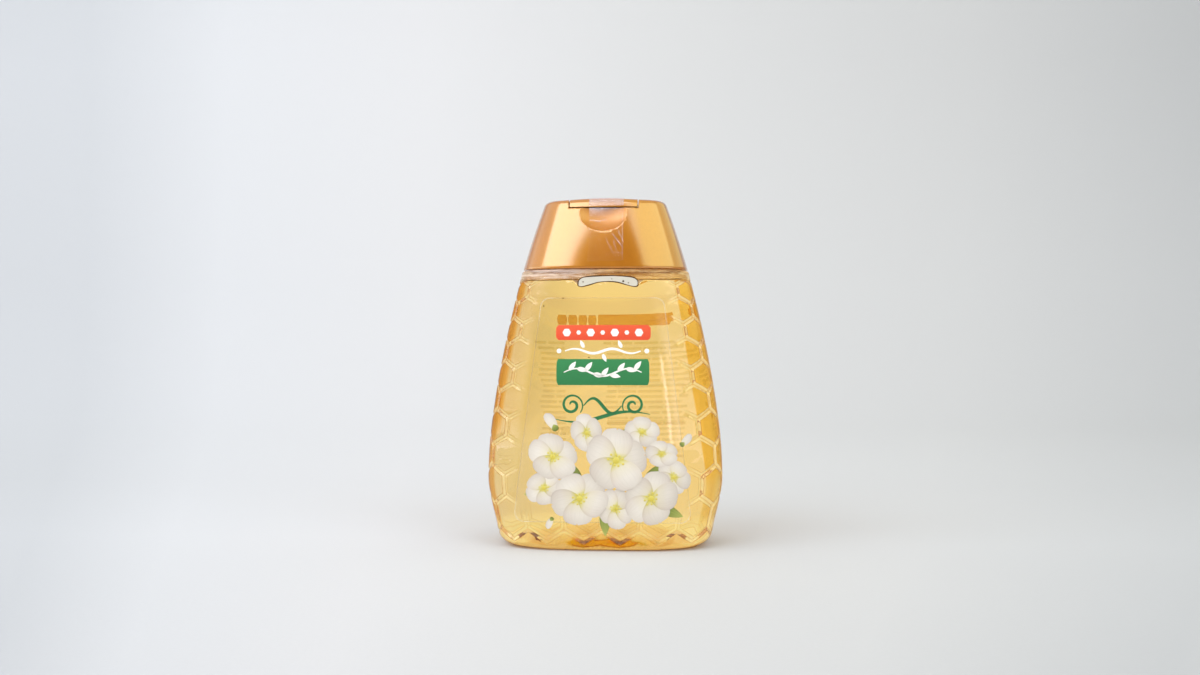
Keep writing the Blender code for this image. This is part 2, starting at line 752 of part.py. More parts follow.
def make_hinge_web(colour):
    """The thin web between the lid's back edge and the cap's deck."""
    half = HINGE_WEB_WIDTH / 2
    low = (-half, LID_BACK_Y + CLEARANCE, HINGE_Z - HINGE_WEB_THICKNESS)
    high = (half, RECESS_BACK_Y - CLEARANCE, HINGE_Z)
    return block("living_hinge", low, high, colour, cutter=False)


def make_valve():
    """A silicone disc held by its flange, with a dished head cut by a cross slit."""
    flange_top = DECK_Z - CLEARANCE
    flange_bottom = flange_top - VALVE_FLANGE
    outer = VALVE_BORE_RADIUS - CLEARANCE
    sleeve = outer - VALVE_FLANGE_WALL
    head = ORIFICE_RADIUS - CLEARANCE * 2
    head_z = flange_top - VALVE_HEAD_THICKNESS / 2
    profile = (
        (head, head_z - VALVE_HEAD_THICKNESS),
        (sleeve, flange_bottom),
        (outer, flange_bottom),
        (outer, flange_top),
        (sleeve, flange_top),
        (head, head_z),
    )
    builder = bmesh.new()
    made = [add_ring(builder, circle_ring(CAP_COLUMNS, radius, z)) for radius, z in profile]
    for lower, upper in zip(made, made[1:]):
        bridge(builder, lower, upper)
    dip_z = head_z - VALVE_HEAD_DIP
    mid_radius = head * VALVE_MID_SHARES[0]
    mid_drop = VALVE_HEAD_DIP * VALVE_MID_SHARES[1]
    under = add_ring(builder, circle_ring(CAP_COLUMNS, mid_radius, head_z - VALVE_HEAD_THICKNESS - mid_drop))
    over = add_ring(builder, circle_ring(CAP_COLUMNS, mid_radius, head_z - mid_drop))
    bridge(builder, under, made[0])
    bridge(builder, made[-1], over)
    cover(builder, under, dip_z - VALVE_HEAD_THICKNESS)
    cover(builder, over, dip_z)
    colour = make_material("silicone", (0.86, 0.84, 0.78), 0.35)
    valve = finish_object("dispensing_valve", builder, colour)
    half_slit = VALVE_SLIT / 2
    for name, half_x, half_y in (("slit_x", mid_radius, half_slit), ("slit_y", half_slit, mid_radius)):
        slit = block(
            name,
            (-half_x, -half_y, dip_z - VALVE_HEAD_THICKNESS - OVERRUN),
            (half_x, half_y, flange_top + OVERRUN),
        )
        combine(valve, slit, "DIFFERENCE", name)
    return valve


def make_retainer(colour):
    top = DECK_Z - CLEARANCE - VALVE_FLANGE - CLEARANCE
    outer = VALVE_BORE_RADIUS - CLEARANCE
    inner = outer - RETAINER_WALL
    profile = (
        (inner, top - RETAINER_HEIGHT),
        (outer - CLEARANCE, top - RETAINER_HEIGHT),
        (outer, top - RETAINER_HEIGHT + CLEARANCE),
        (outer, top),
        (inner, top),
    )
    return turned_ring("valve_retainer", profile, colour)


def main():
    remove_everything()
    gold = make_material("gold_plastic", (0.72, 0.42, 0.10), 0.32, metallic=0.55)
    lid_gold = make_material("lid_gold_plastic", (0.72, 0.42, 0.10), 0.32, metallic=0.55)
    web_gold = make_material("hinge_gold_plastic", (0.74, 0.45, 0.12), 0.38, metallic=0.5)
    make_bottle()
    make_honey()
    make_label("front_label", -1, make_material("front_film", (0.95, 0.92, 0.82), 0.15, transmission=0.6))
    make_label("back_label", 1, make_material("back_film", (0.90, 0.66, 0.30), 0.2, transmission=0.4))
    make_cap(gold)
    make_lid(lid_gold)
    make_hinge_web(web_gold)
    make_valve()
    make_retainer(make_material("retainer_plastic", (0.90, 0.88, 0.82), 0.4))
    make_cap_tape(make_material("cap_tape_film", (0.90, 0.86, 0.88), 0.1, transmission=0.8))
    make_lid_tape(make_material("lid_tape_film", (0.90, 0.86, 0.88), 0.1, transmission=0.8))


main()
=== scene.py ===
"""Looks of a honey squeeze bottle with an oval flip-top cap.

The row frame is in metres, +Z up, with the label facing -Y. Shapes are worked
out in millimetres and turned into metres as each mesh is made.
"""

import math

import bpy
import numpy as np
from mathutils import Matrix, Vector


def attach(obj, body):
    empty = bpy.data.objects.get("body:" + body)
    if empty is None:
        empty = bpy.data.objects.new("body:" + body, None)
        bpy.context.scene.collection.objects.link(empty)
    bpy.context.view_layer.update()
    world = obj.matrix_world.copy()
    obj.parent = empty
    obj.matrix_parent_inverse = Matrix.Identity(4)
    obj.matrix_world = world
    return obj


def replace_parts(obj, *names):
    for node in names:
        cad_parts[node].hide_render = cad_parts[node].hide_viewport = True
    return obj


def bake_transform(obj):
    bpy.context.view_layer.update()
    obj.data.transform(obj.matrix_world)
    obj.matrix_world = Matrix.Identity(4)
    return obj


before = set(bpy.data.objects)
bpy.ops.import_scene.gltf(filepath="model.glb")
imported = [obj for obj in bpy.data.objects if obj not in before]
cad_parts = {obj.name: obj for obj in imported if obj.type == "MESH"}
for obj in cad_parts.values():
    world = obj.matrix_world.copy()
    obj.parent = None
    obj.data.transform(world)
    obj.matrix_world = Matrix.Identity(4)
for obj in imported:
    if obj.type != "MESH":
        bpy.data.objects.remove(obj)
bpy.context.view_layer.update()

# Form of the body and the cap: the sizes of the CAD part
BODY_WIDTH, BODY_DEPTH, BODY_HEIGHT = 75.8, 40.8, 88.0
TOP_WIDTH, TOP_DEPTH = 54.0, 33.4
SWELL_HEIGHTS = np.array((0.0, 0.12, 0.23, 0.35, 0.55, 0.78, 1.0))
SWELL_WIDTHS = np.array((0.798, 0.917, 1.0, 0.976, 0.784, 0.43, 0.0))
SWELL_DEPTHS = np.array((0.703, 0.863, 1.0, 0.973, 0.78, 0.451, 0.0))
FOOT_POWER, POWER_DROP = 3.3, 0.5
HEEL = 2.6
HEEL_END = HEEL - HEEL * math.pi / 2
PUSH_UP = 3.6
CAP_BOTTOM, CAP_TOP = 88.3, 110.6
CAP_BASE, CAP_CROWN = (53.6, 33.0), (38.9, 22.8)
CAP_POWER, CAP_EDGE, CAP_BULGE = 2.8, 1.4, 0.25
LID_BOTTOM, RECESS_FLOOR, DECK_UNDER = 108.1, 107.75, 106.35
LID_HALF, RECESS_HALF = 10.8, 11.15
LID_BACK, RECESS_BACK = 6.2, 7.8
LID_CROWN, CROWN_FADE = 0.3, 3.0

# Foot: how much narrower it is than the even curve, as shares at heights, and how its corners lift
TAPER_HEIGHTS = (0.0, 1.0, 2.6, 4.5, 8.0, 13.5, 20.0)
TAPER_SHARES = (0.075, 0.06, 0.048, 0.041, 0.034, 0.015, 0.0)
CORNER_LIFT, CORNER_AT, CORNER_HEIGHT = 1.5, 35.0, 8.0
# Pushed-up base: how far from the middle it is full, how far it fades from there, and for each ring
# how far in from the heel it lies and its share of the push-up
DOME_FULL, DOME_FADE = 6.0, 27.0
BASE_RINGS = ((1.6, 0.0), (3.2, 0.02), (5.0, 0.12), (7.0, 0.38), (9.0, 0.68), (11.5, 0.93))

# Honeycomb relief and its depth, and its painted highlights and painted shade as pale and dark lines at
# shares of the bevel
COLUMNS, ROWS, STEPS = 32, 10, 4
ROUND = COLUMNS * STEPS
FIRST_ROW, PITCH, PITCH_RATIO, UPRIGHT_SHARE = 10.2, 10.0, 0.94, 0.66
RELIEF, BEVEL, FOOT_RELIEF = 0.5, 1.15, 0.25
# Where the relief fades: columns from the side's middle and their fade, height at the foot and its fade
SIDE_END, SIDE_FADE, FOOT_END, FOOT_FADE = 2.95, 0.8, 8.5, 4.0
GROOVE_AT = (0.0, 0.07, 0.2, 0.78, 0.9, 1.0)
GROOVE_DEPTH = (1.0, 0.94, 0.7, 0.25, 0.04, 0.0)
GROOVE_HIGHLIGHT = (0.3, 0.7, 1.0, 1.0, 0.2, 0.0)
GROOVE_SHADE = (0.8, 0.3, 0.0, 0.0, 1.0, 0.1)

# Wall, honey level, and the air pocket's depth at distances from its middle
WALL_INSET, HONEY_GAP, WALL_THICKNESS = 0.05, 0.1, 1.0
LEVEL, DIP_FROM = 84.7, 76.0
POCKET_MIDDLE, POCKET_BACK_SHARE = 1.8, 0.28
POCKET_AT = (0.0, 3.0, 6.0, 8.2, 9.2, 10.0, 10.8)
POCKET_DEPTH = (0.6, 0.8, 1.4, 2.0, 1.9, 0.9, 0.0)
# Honey's surface from the wall inwards: share of the way out and rise
SURFACE_RINGS = (
    (0.985, -0.12), (0.96, -0.2), (0.9, -0.24),
    *((share, -0.25) for share in (0.78, 0.6, 0.4, 0.2)),
)


# Form of the body


def smooth(t):
    t = np.clip(t, 0.0, 1.0)
    return t * t * (3.0 - 2.0 * t)


def swell(shares, height):
    """A smooth curve through the shares, read at an array of height shares."""
    slopes = np.gradient(shares, SWELL_HEIGHTS)
    index = np.clip(np.searchsorted(SWELL_HEIGHTS, height) - 1, 0, len(SWELL_HEIGHTS) - 2)
    span = SWELL_HEIGHTS[index + 1] - SWELL_HEIGHTS[index]
    t = (height - SWELL_HEIGHTS[index]) / span
    return (
        (2 * t**3 - 3 * t**2 + 1) * shares[index]
        + (t**3 - 2 * t**2 + t) * slopes[index] * span
        + (3 * t**2 - 2 * t**3) * shares[index + 1]
        + (t**3 - t**2) * slopes[index + 1] * span
    )


def body_halves(z):
    height = np.clip(np.asarray(z, float) / BODY_HEIGHT, 0.0, 1.0)
    width = TOP_WIDTH + (BODY_WIDTH - TOP_WIDTH) * swell(SWELL_WIDTHS, height)
    depth = TOP_DEPTH + (BODY_DEPTH - TOP_DEPTH) * swell(SWELL_DEPTHS, height)
    return width / 2, depth / 2


def body_power(z):
    return FOOT_POWER - POWER_DROP * np.clip(np.asarray(z, float) / BODY_HEIGHT, 0.0, 1.0) ** 2


def quarter(half_width, half_depth, power, samples):
    """Points at equal lengths along a quarter of a squared oval."""
    turn = 0.25 * math.pi * (1.0 - np.cos(math.pi * np.linspace(0.0, 1.0, 1025)))
    x = half_width * np.cos(turn).clip(0.0) ** (2.0 / power)
    y = half_depth * np.sin(turn).clip(0.0) ** (2.0 / power)
    length = np.concatenate([[0.0], np.cumsum(np.hypot(np.diff(x), np.diff(y)))])
    share = np.linspace(0.0, 1.0, samples)
    return np.interp(share, length / length[-1], x), np.interp(share, length / length[-1], y)


def fold(share):
    """Where a share of the way round lies in the first quarter, and the signs of x and y."""
    quarters = (share % 1.0) * 4.0
    which = np.floor(quarters).astype(int) % 4
    along = quarters - np.floor(quarters)
    along = np.where(which % 2 == 1, 1.0 - along, along)
    return along, np.where((which == 1) | (which == 2), -1.0, 1.0), np.where(which >= 2, -1.0, 1.0)


# The body's quarter ovals at even heights, each as points at equal lengths
LEVELS = np.linspace(0.0, BODY_HEIGHT, 177)
ARC = 97
SIZES = zip(*body_halves(LEVELS), body_power(LEVELS))
TABLE_X, TABLE_Y = np.array([quarter(*map(float, size), ARC) for size in SIZES]).transpose(1, 0, 2)


def form_value(x, y, z):
    a, b = body_halves(z)
    p = body_power(z)
    return (np.abs(x) / a) ** p + (np.abs(y) / b) ** p


def foot_taper(z):
    return np.interp(z, TAPER_HEIGHTS, TAPER_SHARES)


def body_frame(u, s):
    """Points and outward normals of the smooth body. s is the height, and goes on round the heel."""
    u, s = np.asarray(u, float), np.asarray(s, float)
    z = np.clip(s, HEEL, BODY_HEIGHT)
    along, sign_x, sign_y = fold(u / COLUMNS)
    level, arc = z / BODY_HEIGHT * (len(LEVELS) - 1), along * (ARC - 1)
    i = np.minimum(level.astype(int), len(LEVELS) - 2)
    j = np.minimum(arc.astype(int), ARC - 2)
    f, g = level - i, arc - j

    def read(table):
        low = table[i, j] * (1 - g) + table[i, j + 1] * g
        high = table[i + 1, j] * (1 - g) + table[i + 1, j + 1] * g
        return low * (1 - f) + high * f

    x, y = sign_x * read(TABLE_X), sign_y * read(TABLE_Y)
    a, b = body_halves(z)
    p = body_power(z)
    k = form_value(x, y, z) ** (-1.0 / p)
    x, y = x * k, y * k
    across_x = np.sign(x) * p * np.abs(x) ** (p - 1) / a**p
    across_y = np.sign(y) * p * np.abs(y) ** (p - 1) / b**p
    step = 0.2
    upper, lower = np.minimum(z + step, BODY_HEIGHT), np.maximum(z - step, HEEL)
    upwards = (form_value(x, y, upper) - form_value(x, y, lower)) / (upper - lower)
    flat = np.hypot(across_x, across_y)
    hx, hy = across_x / flat, across_y / flat
    size = np.sqrt(flat**2 + upwards**2)
    turn = np.clip((HEEL - s) / HEEL, 0.0, math.pi / 2)
    drawn = HEEL * (1.0 - np.cos(turn))
    in_heel = s < HEEL
    height = np.where(in_heel, HEEL * (1.0 - np.sin(turn)), s)
    place = np.stack([x - hx * drawn, y - hy * drawn, height], -1)
    round_heel = np.stack([hx * np.cos(turn), hy * np.cos(turn), -np.sin(turn)], -1)
    above = np.stack([across_x / size, across_y / size, upwards / size], -1)
    normal = np.where(in_heel[..., None], round_heel, above)
    place[:, 0] *= 1.0 - foot_taper(place[:, 2])
    corner = np.clip(np.abs(place[:, 0]) / CORNER_AT, 0.0, 1.0) ** 4
    place[:, 2] += CORNER_LIFT * corner * np.clip(1.0 - place[:, 2] / CORNER_HEIGHT, 0.0, 1.0) ** 2
    return place, normal


def panel_depth(x, z, lift):
    """How far the body's front reaches from its middle at a place, lifted off it."""
    a, b = body_halves(z)
    p = body_power(z)
    return (b + lift) * (1.0 - np.clip(np.abs(x) / (a + lift), 0.0, 1.0) ** p) ** (1.0 / p)


# Meshes


def ring_points(columns, half_width, half_depth, power, z):
    x, y = quarter(half_width, half_depth, power, columns // 4 + 1)
    along, sign_x, sign_y = fold(np.arange(columns) / columns)
    index = np.rint(along * (columns // 4)).astype(int)
    return np.stack([sign_x * x[index], sign_y * y[index], np.full(columns, float(z))], -1)


def make_piece(name, points, faces, material, body="bottle_body", angle=None, uv=None, tones=None):
    """A mesh from points in millimetres, smooth, riding on a body."""
    mesh = bpy.data.meshes.new(name)
    mesh.from_pydata([tuple(p) for p in np.asarray(points, float) * 0.001], [], [tuple(f) for f in faces])
    mesh.validate()
    if uv is not None:
        layer = mesh.uv_layers.new(name="UVMap")
        index = np.zeros(len(mesh.loops), int)
        mesh.loops.foreach_get("vertex_index", index)
        layer.data.foreach_set("uv", np.asarray(uv, float)[index].ravel())
    for key, values in (tones or {}).items():
        mesh.attributes.new(key, "FLOAT", "POINT").data.foreach_set("value", np.asarray(values, float))
    mesh.shade_smooth()
    if angle:
        mesh.set_sharp_from_angle(angle=math.radians(angle))
    mesh.materials.append(material)
    piece = bpy.data.objects.new(name, mesh)
    bpy.context.scene.collection.objects.link(piece)
    if body:
        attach(piece, body)
    return piece


def strip_faces(first, second):
    count = len(first)
    turns = [(k, (k + 1) % count) for k in range(count)]
    return [(first[k], first[after], second[after], second[k]) for k, after in turns]


def fan_faces(ring, middle, flipped=False):
    pairs = [(ring[k], ring[(k + 1) % len(ring)]) for k in range(len(ring))]
    return [(after, here, middle) if flipped else (here, after, middle) for here, after in pairs]


def ring_stack(rings, ends=(), looped=False):
    """Points and faces of rings joined in turn, with end points as covers or from last to first."""
    points, count = np.concatenate(rings), len(rings[0])
    ids = [range(k * count, (k + 1) * count) for k in range(len(rings))]
    following = ids[1:] + ids[:1] if looped else ids[1:]
    faces = [face for pair in zip(ids, following) for face in strip_faces(*pair)]
    if ends:
        faces += fan_faces(ids[0], len(points), flipped=True) + fan_faces(ids[-1], len(points) + 1)
        points = np.concatenate([points, np.array(ends, float)])
    return points, faces


def cover_rings(points, faces, before, rings, middle, upwards):
    """Goes on from a rim over more rings to a middle point, with the faces turned up or down."""
    for ring in rings:
        now = list(range(len(points), len(points) + len(ring)))
        points = np.concatenate([points, ring])
        faces = faces + (strip_faces(before, now) if upwards else strip_faces(now, before))
        before = now
    faces = faces + fan_faces(before, len(points), flipped=not upwards)
    return np.concatenate([points, [middle]]), faces


def sheet_faces(rows, columns, start=0):
    """Faces of a thin closed sheet of two grids, the lower one first."""
    above = rows * columns
    faces = []
    for j in range(rows - 1):
        for i in range(columns - 1):
            k = start + j * columns + i
            quad = (k, k + 1, k + columns + 1, k + columns)
            faces += [tuple(q + above for q in quad), quad[::-1]]
    ids = start + np.arange(above).reshape(rows, columns)
    rim = np.concatenate([ids[0, :-1], ids[:-1, -1], ids[-1, :0:-1], ids[:0:-1, 0]]).tolist()
    pairs = zip(rim, rim[1:] + rim[:1])
    return faces + [(here, after, after + above, here + above) for here, after in pairs]


def grid(columns, rows, low=-1.0, high=1.0):
    """How far across, from low to high, and how far up, from 0 to 1, the points of a grid lie."""
    return np.meshgrid(np.linspace(low, high, columns), np.linspace(0, 1, rows))


# Honeycomb lattice of the body, shared by the wall and the honey


def row_height(row):
    return FIRST_ROW + PITCH * (1.0 - PITCH_RATIO**row) / (1.0 - PITCH_RATIO)


def half_edge(row):
    return UPRIGHT_SHARE * 0.25 * (PITCH * PITCH_RATIO ** (row - 1) + PITCH * PITCH_RATIO**row)


def bevel_width(row):
    return BEVEL * (0.55 + 0.45 * PITCH_RATIO ** max(row, 0))


def column_length(z):
    a, b = body_halves(z)
    x, y = quarter(float(a), float(b), float(body_power(z)), 33)
    return float(np.hypot(np.diff(x), np.diff(y)).sum()) * 4 / COLUMNS


def relief_share(u, s):
    """Full relief on both sides of the body, weak relief along the foot, none on the panels."""
    from_side = np.abs((u + COLUMNS / 4) % (COLUMNS / 2) - COLUMNS / 4)
    side = 1.0 - smooth((from_side - SIDE_END) / SIDE_FADE)
    foot = FOOT_RELIEF * (1.0 - smooth((s - FOOT_END) / FOOT_FADE))
    return np.maximum(side, foot)


def pocket(x):
    return np.interp(np.abs(x - POCKET_MIDDLE), POCKET_AT, POCKET_DEPTH)


class Lattice:
    """Vertices as (u, s, groove share), and the faces between them, from the heel to the level."""

    def __init__(self, top):
        self.top = top
        self.rows, self.faces, self.shared = [], [], {}
        for row in range(ROWS):
            for column in range(COLUMNS):
                if (row + column) % 2:
                    self.add_cell(row, column)
        self.foot_edge = self.add_band(-1)
        self.top_edge = self.add_band(1)
        self.u, self.s, self.groove = np.array(self.rows).T

    def vertex(self, u, s, groove, shared=False):
        key = (round(u % COLUMNS, 4) % COLUMNS, round(s, 4))
        if shared and key in self.shared:
            return self.shared[key]
        self.rows.append((u, min(s, self.top), groove))
        if shared:
            self.shared[key] = len(self.rows) - 1
        return len(self.rows) - 1

    def add_cell(self, row, column):
        width = column_length(row_height(row))
        ends = ((-1, 1), (0, -1), (0, 1), (1, -1))
        below, low, high, over = (row_height(row + k) + side * half_edge(row + k) for k, side in ends)
        right, left = [(width, low), (width, high)], [(-width, high), (-width, low)]
        corners = np.array([(0, below), *right, (0, over), *left])
        raised = relief_share(column + corners[:, 0] / width, corners[:, 1]).max() > 0
        if raised:
            bevel = bevel_width(row)
            rings = [(self.inset(corners, bevel * d), g) for d, g in zip(GROOVE_AT, GROOVE_DEPTH)]
            middle = rings[-1][0].mean(0)
            rings.append((middle + (rings[-1][0] - middle) * 0.5, 0.0))
        else:
            middle = corners.mean(0)
            rings = [(middle + (corners - middle) * k, 0.0) for k in (1.0, 0.67, 0.33)]
        made = []
        for index, (ring, groove) in enumerate(rings):
            ids = []
            for start, end in zip(ring, np.roll(ring, -1, 0)):
                for step in range(STEPS):
                    x, s = start + (end - start) * step / STEPS
                    share = groove if raised or index else 1.0
                    ids.append(self.vertex(column + x / width, s, share, shared=index == 0))
            made.append(ids)
        for first, second in zip(made, made[1:]):
            self.faces += strip_faces(first, second)
        self.faces += fan_faces(made[-1], self.vertex(column, middle[1], 0.0))

    @staticmethod
    def inset(corners, distance):
        """The polygon with each edge moved inwards by a distance."""
        edges = np.roll(corners, -1, 0) - corners
        inwards = np.stack([-edges[:, 1], edges[:, 0]], -1) / np.linalg.norm(edges, axis=1)[:, None]
        start = corners + inwards * distance
        out = []
        for k, (q, e) in enumerate(zip(start, edges)):
            p, d = start[k - 1], edges[k - 1]
            out.append(p + d * (np.cross(q - p, e) / np.cross(d, e)))
        return np.array(out)

    def zigzag(self, side, u):
        """Height of the lowest (side -1) or highest (side 1) zigzag at a column, and its slope."""
        row = 0 if side < 0 else ROWS
        upright = row_height(row) - half_edge(row)
        between = row_height(row - 1) + half_edge(row - 1)
        column = math.floor(u)
        start, end = (upright, between) if (row + column) % 2 == 0 else (between, upright)
        return start + (end - start) * (u - column), abs(upright - between)

    def add_band(self, side):
        """Joins a zigzag to the heel's end (side -1) or to the top (side 1). Returns the outer ring."""
        row = 0 if side < 0 else ROWS
        bevel = bevel_width(row)
        width = column_length(row_height(row) - 4.0 if side < 0 else self.top)
        columns = []
        for k in range(ROUND):
            u = k / STEPS
            s, rise = self.zigzag(side, u)
            lean = width / math.hypot(width, rise)
            ids = [self.vertex(u, s, 1.0, shared=True)]
            if side < 0:
                for d, g in zip(GROOVE_AT[1:], GROOVE_DEPTH[1:]):
                    ids.append(self.vertex(u, s - bevel * d / lean, g))
                low = s - bevel / lean
                for share in (0.35, 0.7, 1.0):
                    ids.append(self.vertex(u, low + (HEEL_END - low) * share, 0.0))
            else:
                for share in (0.3, 0.65, 1.0):
                    at = s + (self.top - s) * share
                    groove = float(np.interp(abs(at - s) * lean / bevel, GROOVE_AT, GROOVE_DEPTH))
                    ids.append(self.vertex(u, at, groove))
            columns.append(ids)
        for here, after in zip(columns, columns[1:] + columns[:1]):
            for j in range(len(here) - 1):
                quad = (here[j], after[j], after[j + 1], here[j + 1])
                self.faces.append(quad if side > 0 else quad[::-1])
        return [ids[-1] for ids in columns]

    def shown(self, strengths):
        """How strongly a painted line shows at each vertex, from its strengths across a bevel."""
        order = np.argsort(GROOVE_DEPTH)
        known = np.array(GROOVE_DEPTH)[order], np.array(strengths)[order]
        return np.interp(self.groove, *known) * (self.groove > 0.0) * relief_share(self.u, self.s) ** 0.5

    def points(self, inset, dipped):
        """Places of the vertices with the relief, drawn in by an inset, in millimetres."""
        s = self.s.copy()
        if dipped:
            place, _ = body_frame(self.u, s)
            share = np.where(place[:, 1] < 0, 1.0, POCKET_BACK_SHARE)
            s = s - pocket(place[:, 0]) * share * smooth((s - DIP_FROM) / (self.top - DIP_FROM))
        place, normal = body_frame(self.u, s)
        depth = RELIEF * relief_share(self.u, self.s) * self.groove
        return place - normal * (depth + inset)[:, None]


lattice = Lattice(LEVEL)


def body_shell(inset, dipped=False):
    """Points and faces of the body from the middle of its base to the level, open at the top."""
    place, normal = body_frame(np.arange(ROUND) / STEPS, np.full(ROUND, HEEL))
    flat = normal[:, :2] / np.linalg.norm(normal[:, :2], axis=1)[:, None]
    rings = []
    for drawn, share in BASE_RINGS:
        ring = place.copy()
        ring[:, :2] -= flat * (HEEL + drawn)
        dome = 1.0 - smooth((np.abs(ring[:, 0]) - DOME_FULL) / DOME_FADE)
        ring[:, 2] = share * PUSH_UP * dome + inset
        rings.append(ring)
    points, middle = lattice.points(inset, dipped), (0.0, 0.0, PUSH_UP + inset)
    return cover_rings(points, lattice.faces, lattice.foot_edge, rings, middle, upwards=False)


# Materials


def rgba(value):
    """A grey or a colour as a colour with its alpha."""
    return (value, value, value, 1.0) if isinstance(value, float) else (*value[:3], 1.0)


def screen(*parts):
    """A screen colour from 0 to 255 as a linear colour."""
    parts = [c / 255.0 for c in parts]
    return tuple(c / 12.92 if c <= 0.04045 else ((c + 0.055) / 1.055) ** 2.4 for c in parts)


class Graph:
    """The nodes of a material or of the world. A grey may be one number, and colours need no alpha."""

    def __init__(self, owner):
        owner.use_nodes = True
        self.owner, self.tree = owner, owner.node_tree
        self.tree.nodes.clear()

    def add(self, kind, values, **settings):
        """Adds a node with its settings, its plain values and its links."""
        made = self.tree.nodes.new("ShaderNode" + kind)
        for key, value in settings.items():
            setattr(made, key, value)
        for key, value in values.items():
            socket = made.inputs[key]
            if isinstance(value, bpy.types.NodeSocket):
                self.tree.links.new(value, socket)
            else:
                socket.default_value = rgba(value) if socket.type == "RGBA" else value
        return made

    def get(self, kind, values=None, output=0, **settings):
        """Adds a node and gives one of its outputs."""
        return self.add(kind, values or {}, **settings).outputs[output]

    def math(self, operation, first, second=0.0, clamp=False):
        return self.get("Math", {0: first, 1: second}, operation=operation, use_clamp=clamp)

    def times(self, first, second):
        return self.math("MULTIPLY", first, second)

    def plus(self, first, second, clamp=False):
        return self.math("ADD", first, second, clamp)

    def line(self, value, start, end, low=0.0, high=1.0, kind="LINEAR"):
        values = {0: value, 1: start, 2: end, 3: low, 4: high}
        return self.get("MapRange", values, interpolation_type=kind)

    def rise(self, value, start, end, low=0.0, high=1.0):
        return self.line(value, start, end, low, high, "SMOOTHSTEP")

    def ramp(self, factor, *stops, kind="LINEAR"):
        made = self.add("ValToRGB", {"Fac": factor})
        band = made.color_ramp
        band.interpolation = kind
        while len(band.elements) < len(stops):
            band.elements.new(0.5)
        for element, (at, value) in zip(band.elements, stops):
            element.position = at
            element.color = rgba(value)
        return made.outputs[0]

    def mix(self, factor, first, second, blend="MIX"):
        return self.get("Mix", {0: factor, 6: first, 7: second}, 2, data_type="RGBA", blend_type=blend)

    def tinted(self, first, second, share=1.0):
        return self.mix(share, first, second, "MULTIPLY")

    def place(self, stretch=(1.0, 1.0, 1.0)):
        where = self.get("TexCoord", output="Object")
        return self.get("Mapping", {"Vector": where, "Scale": stretch})

    def split(self, vector):
        return self.add("SeparateXYZ", {"Vector": vector}).outputs

    def print_place(self):
        """How far across and how far along a print a point lies."""
        return self.split(self.get("TexCoord", output="UV"))[:2]

    def tone(self, name):
        return self.get("Attribute", output="Fac", attribute_name=name)

    def ray(self, kind):
        return self.get("LightPath", output=f"Is {kind} Ray")

    def noise(self, vector, scale, detail=2.0, rough=0.5):
        values = {"Vector": vector, "Scale": scale, "Detail": detail, "Roughness": rough}
        return self.get("TexNoise", values)

    def bump(self, height, strength, distance):
        return self.get("Bump", {"Height": height, "Strength": strength, "Distance": distance})

    def clear(self, tint):
        return self.get("BsdfTransparent", {"Color": tint})

    def matt(self, tint, kind="Diffuse"):
        return self.get("Bsdf" + kind, {"Color": tint})

    def mirror(self, tint, rough, normal):
        return self.get("BsdfGlossy", {"Color": tint, "Roughness": rough, "Normal": normal})

    def principled(self, base, rough, **others):
        values = {"Base Color": base, "Roughness": rough}
        values.update({key.replace("_", " "): value for key, value in others.items()})
        return self.get("BsdfPrincipled", values)

    def both(self, share, first, second):
        return self.get("MixShader", {0: share, 1: first, 2: second})

    def mirror_share(self, gloss, normal):
        """Share of light that a thin clear sheet mirrors: little head on, most at a slant."""
        facing = self.get("LayerWeight", {"Blend": 0.5, "Normal": normal}, "Facing")
        steep = self.times(self.math("POWER", facing, 5.0), 0.9)
        return self.math("MULTIPLY", self.plus(steep, 0.04), gloss, True)

    def finish(self, surface, volume=None):
        values = {"Surface": surface} if volume is None else {"Surface": surface, "Volume": volume}
        self.add("OutputMaterial", values)
        return self.owner


def new_look(name):
    return Graph(bpy.data.materials.new(name))


def honey_look():
    g = new_look("honey")
    rough = g.ramp(g.noise(g.place(), 90.0, 3.0), (0.3, 0.0), (0.75, 0.012))
    glass = g.principled((1.0, 0.985, 0.95), rough, IOR=1.49, Transmission_Weight=1.0)
    surface = g.both(g.ray("Shadow"), glass, g.clear((0.97, 0.93, 0.85)))
    return g.finish(surface, g.get("VolumeAbsorption", {"Color": (0.985, 0.875, 0.1), "Density": 38.0}))


# Painted shade, mostly amber, over the wall's own tint: shares of the way to its right or left edge, low
# down and higher up, with the heights in metres between which the one fades into the other, and shares of
# the way down the foot
WALL_TINT = (0.99, 0.915, 0.92)
RIGHT_LOW = (
    (0.1, WALL_TINT), (0.45, (0.98, 0.91, 0.93)), (0.765, (0.985, 0.92, 0.95)),
    (0.79, (0.92, 0.78, 0.56)), (0.86, (0.86, 0.68, 0.42)),
    (0.93, (0.9, 0.78, 0.58)), (1.0, (0.84, 0.72, 0.62)),
)
RIGHT_HIGH = (
    (0.1, WALL_TINT), (0.45, (0.98, 0.905, 0.92)), (0.765, (0.98, 0.905, 0.92)),
    (0.78, (0.9, 0.66, 0.25)), (0.9, (0.91, 0.69, 0.28)),
    (0.96, (0.88, 0.66, 0.31)), (1.0, (0.83, 0.68, 0.54)),
)
RIGHT_FADE = (0.019, 0.026)
LEFT_LOW = (
    (0.2, 1.0), (0.7, (0.92, 0.94, 1.0)), (0.9, (0.905, 0.93, 1.0)),
    (0.925, (0.86, 0.66, 0.44)), (0.965, (0.84, 0.64, 0.42)), (1.0, (0.8, 0.68, 0.58)),
)
LEFT_HIGH = (
    (0.2, 1.0), (0.62, (0.925, 0.92, 0.89)), (0.86, (0.86, 0.825, 0.77)), (0.895, (0.82, 0.58, 0.25)),
    (0.955, (0.8, 0.5, 0.18)), (0.98, (0.78, 0.6, 0.38)), (1.0, (0.72, 0.62, 0.52)),
)
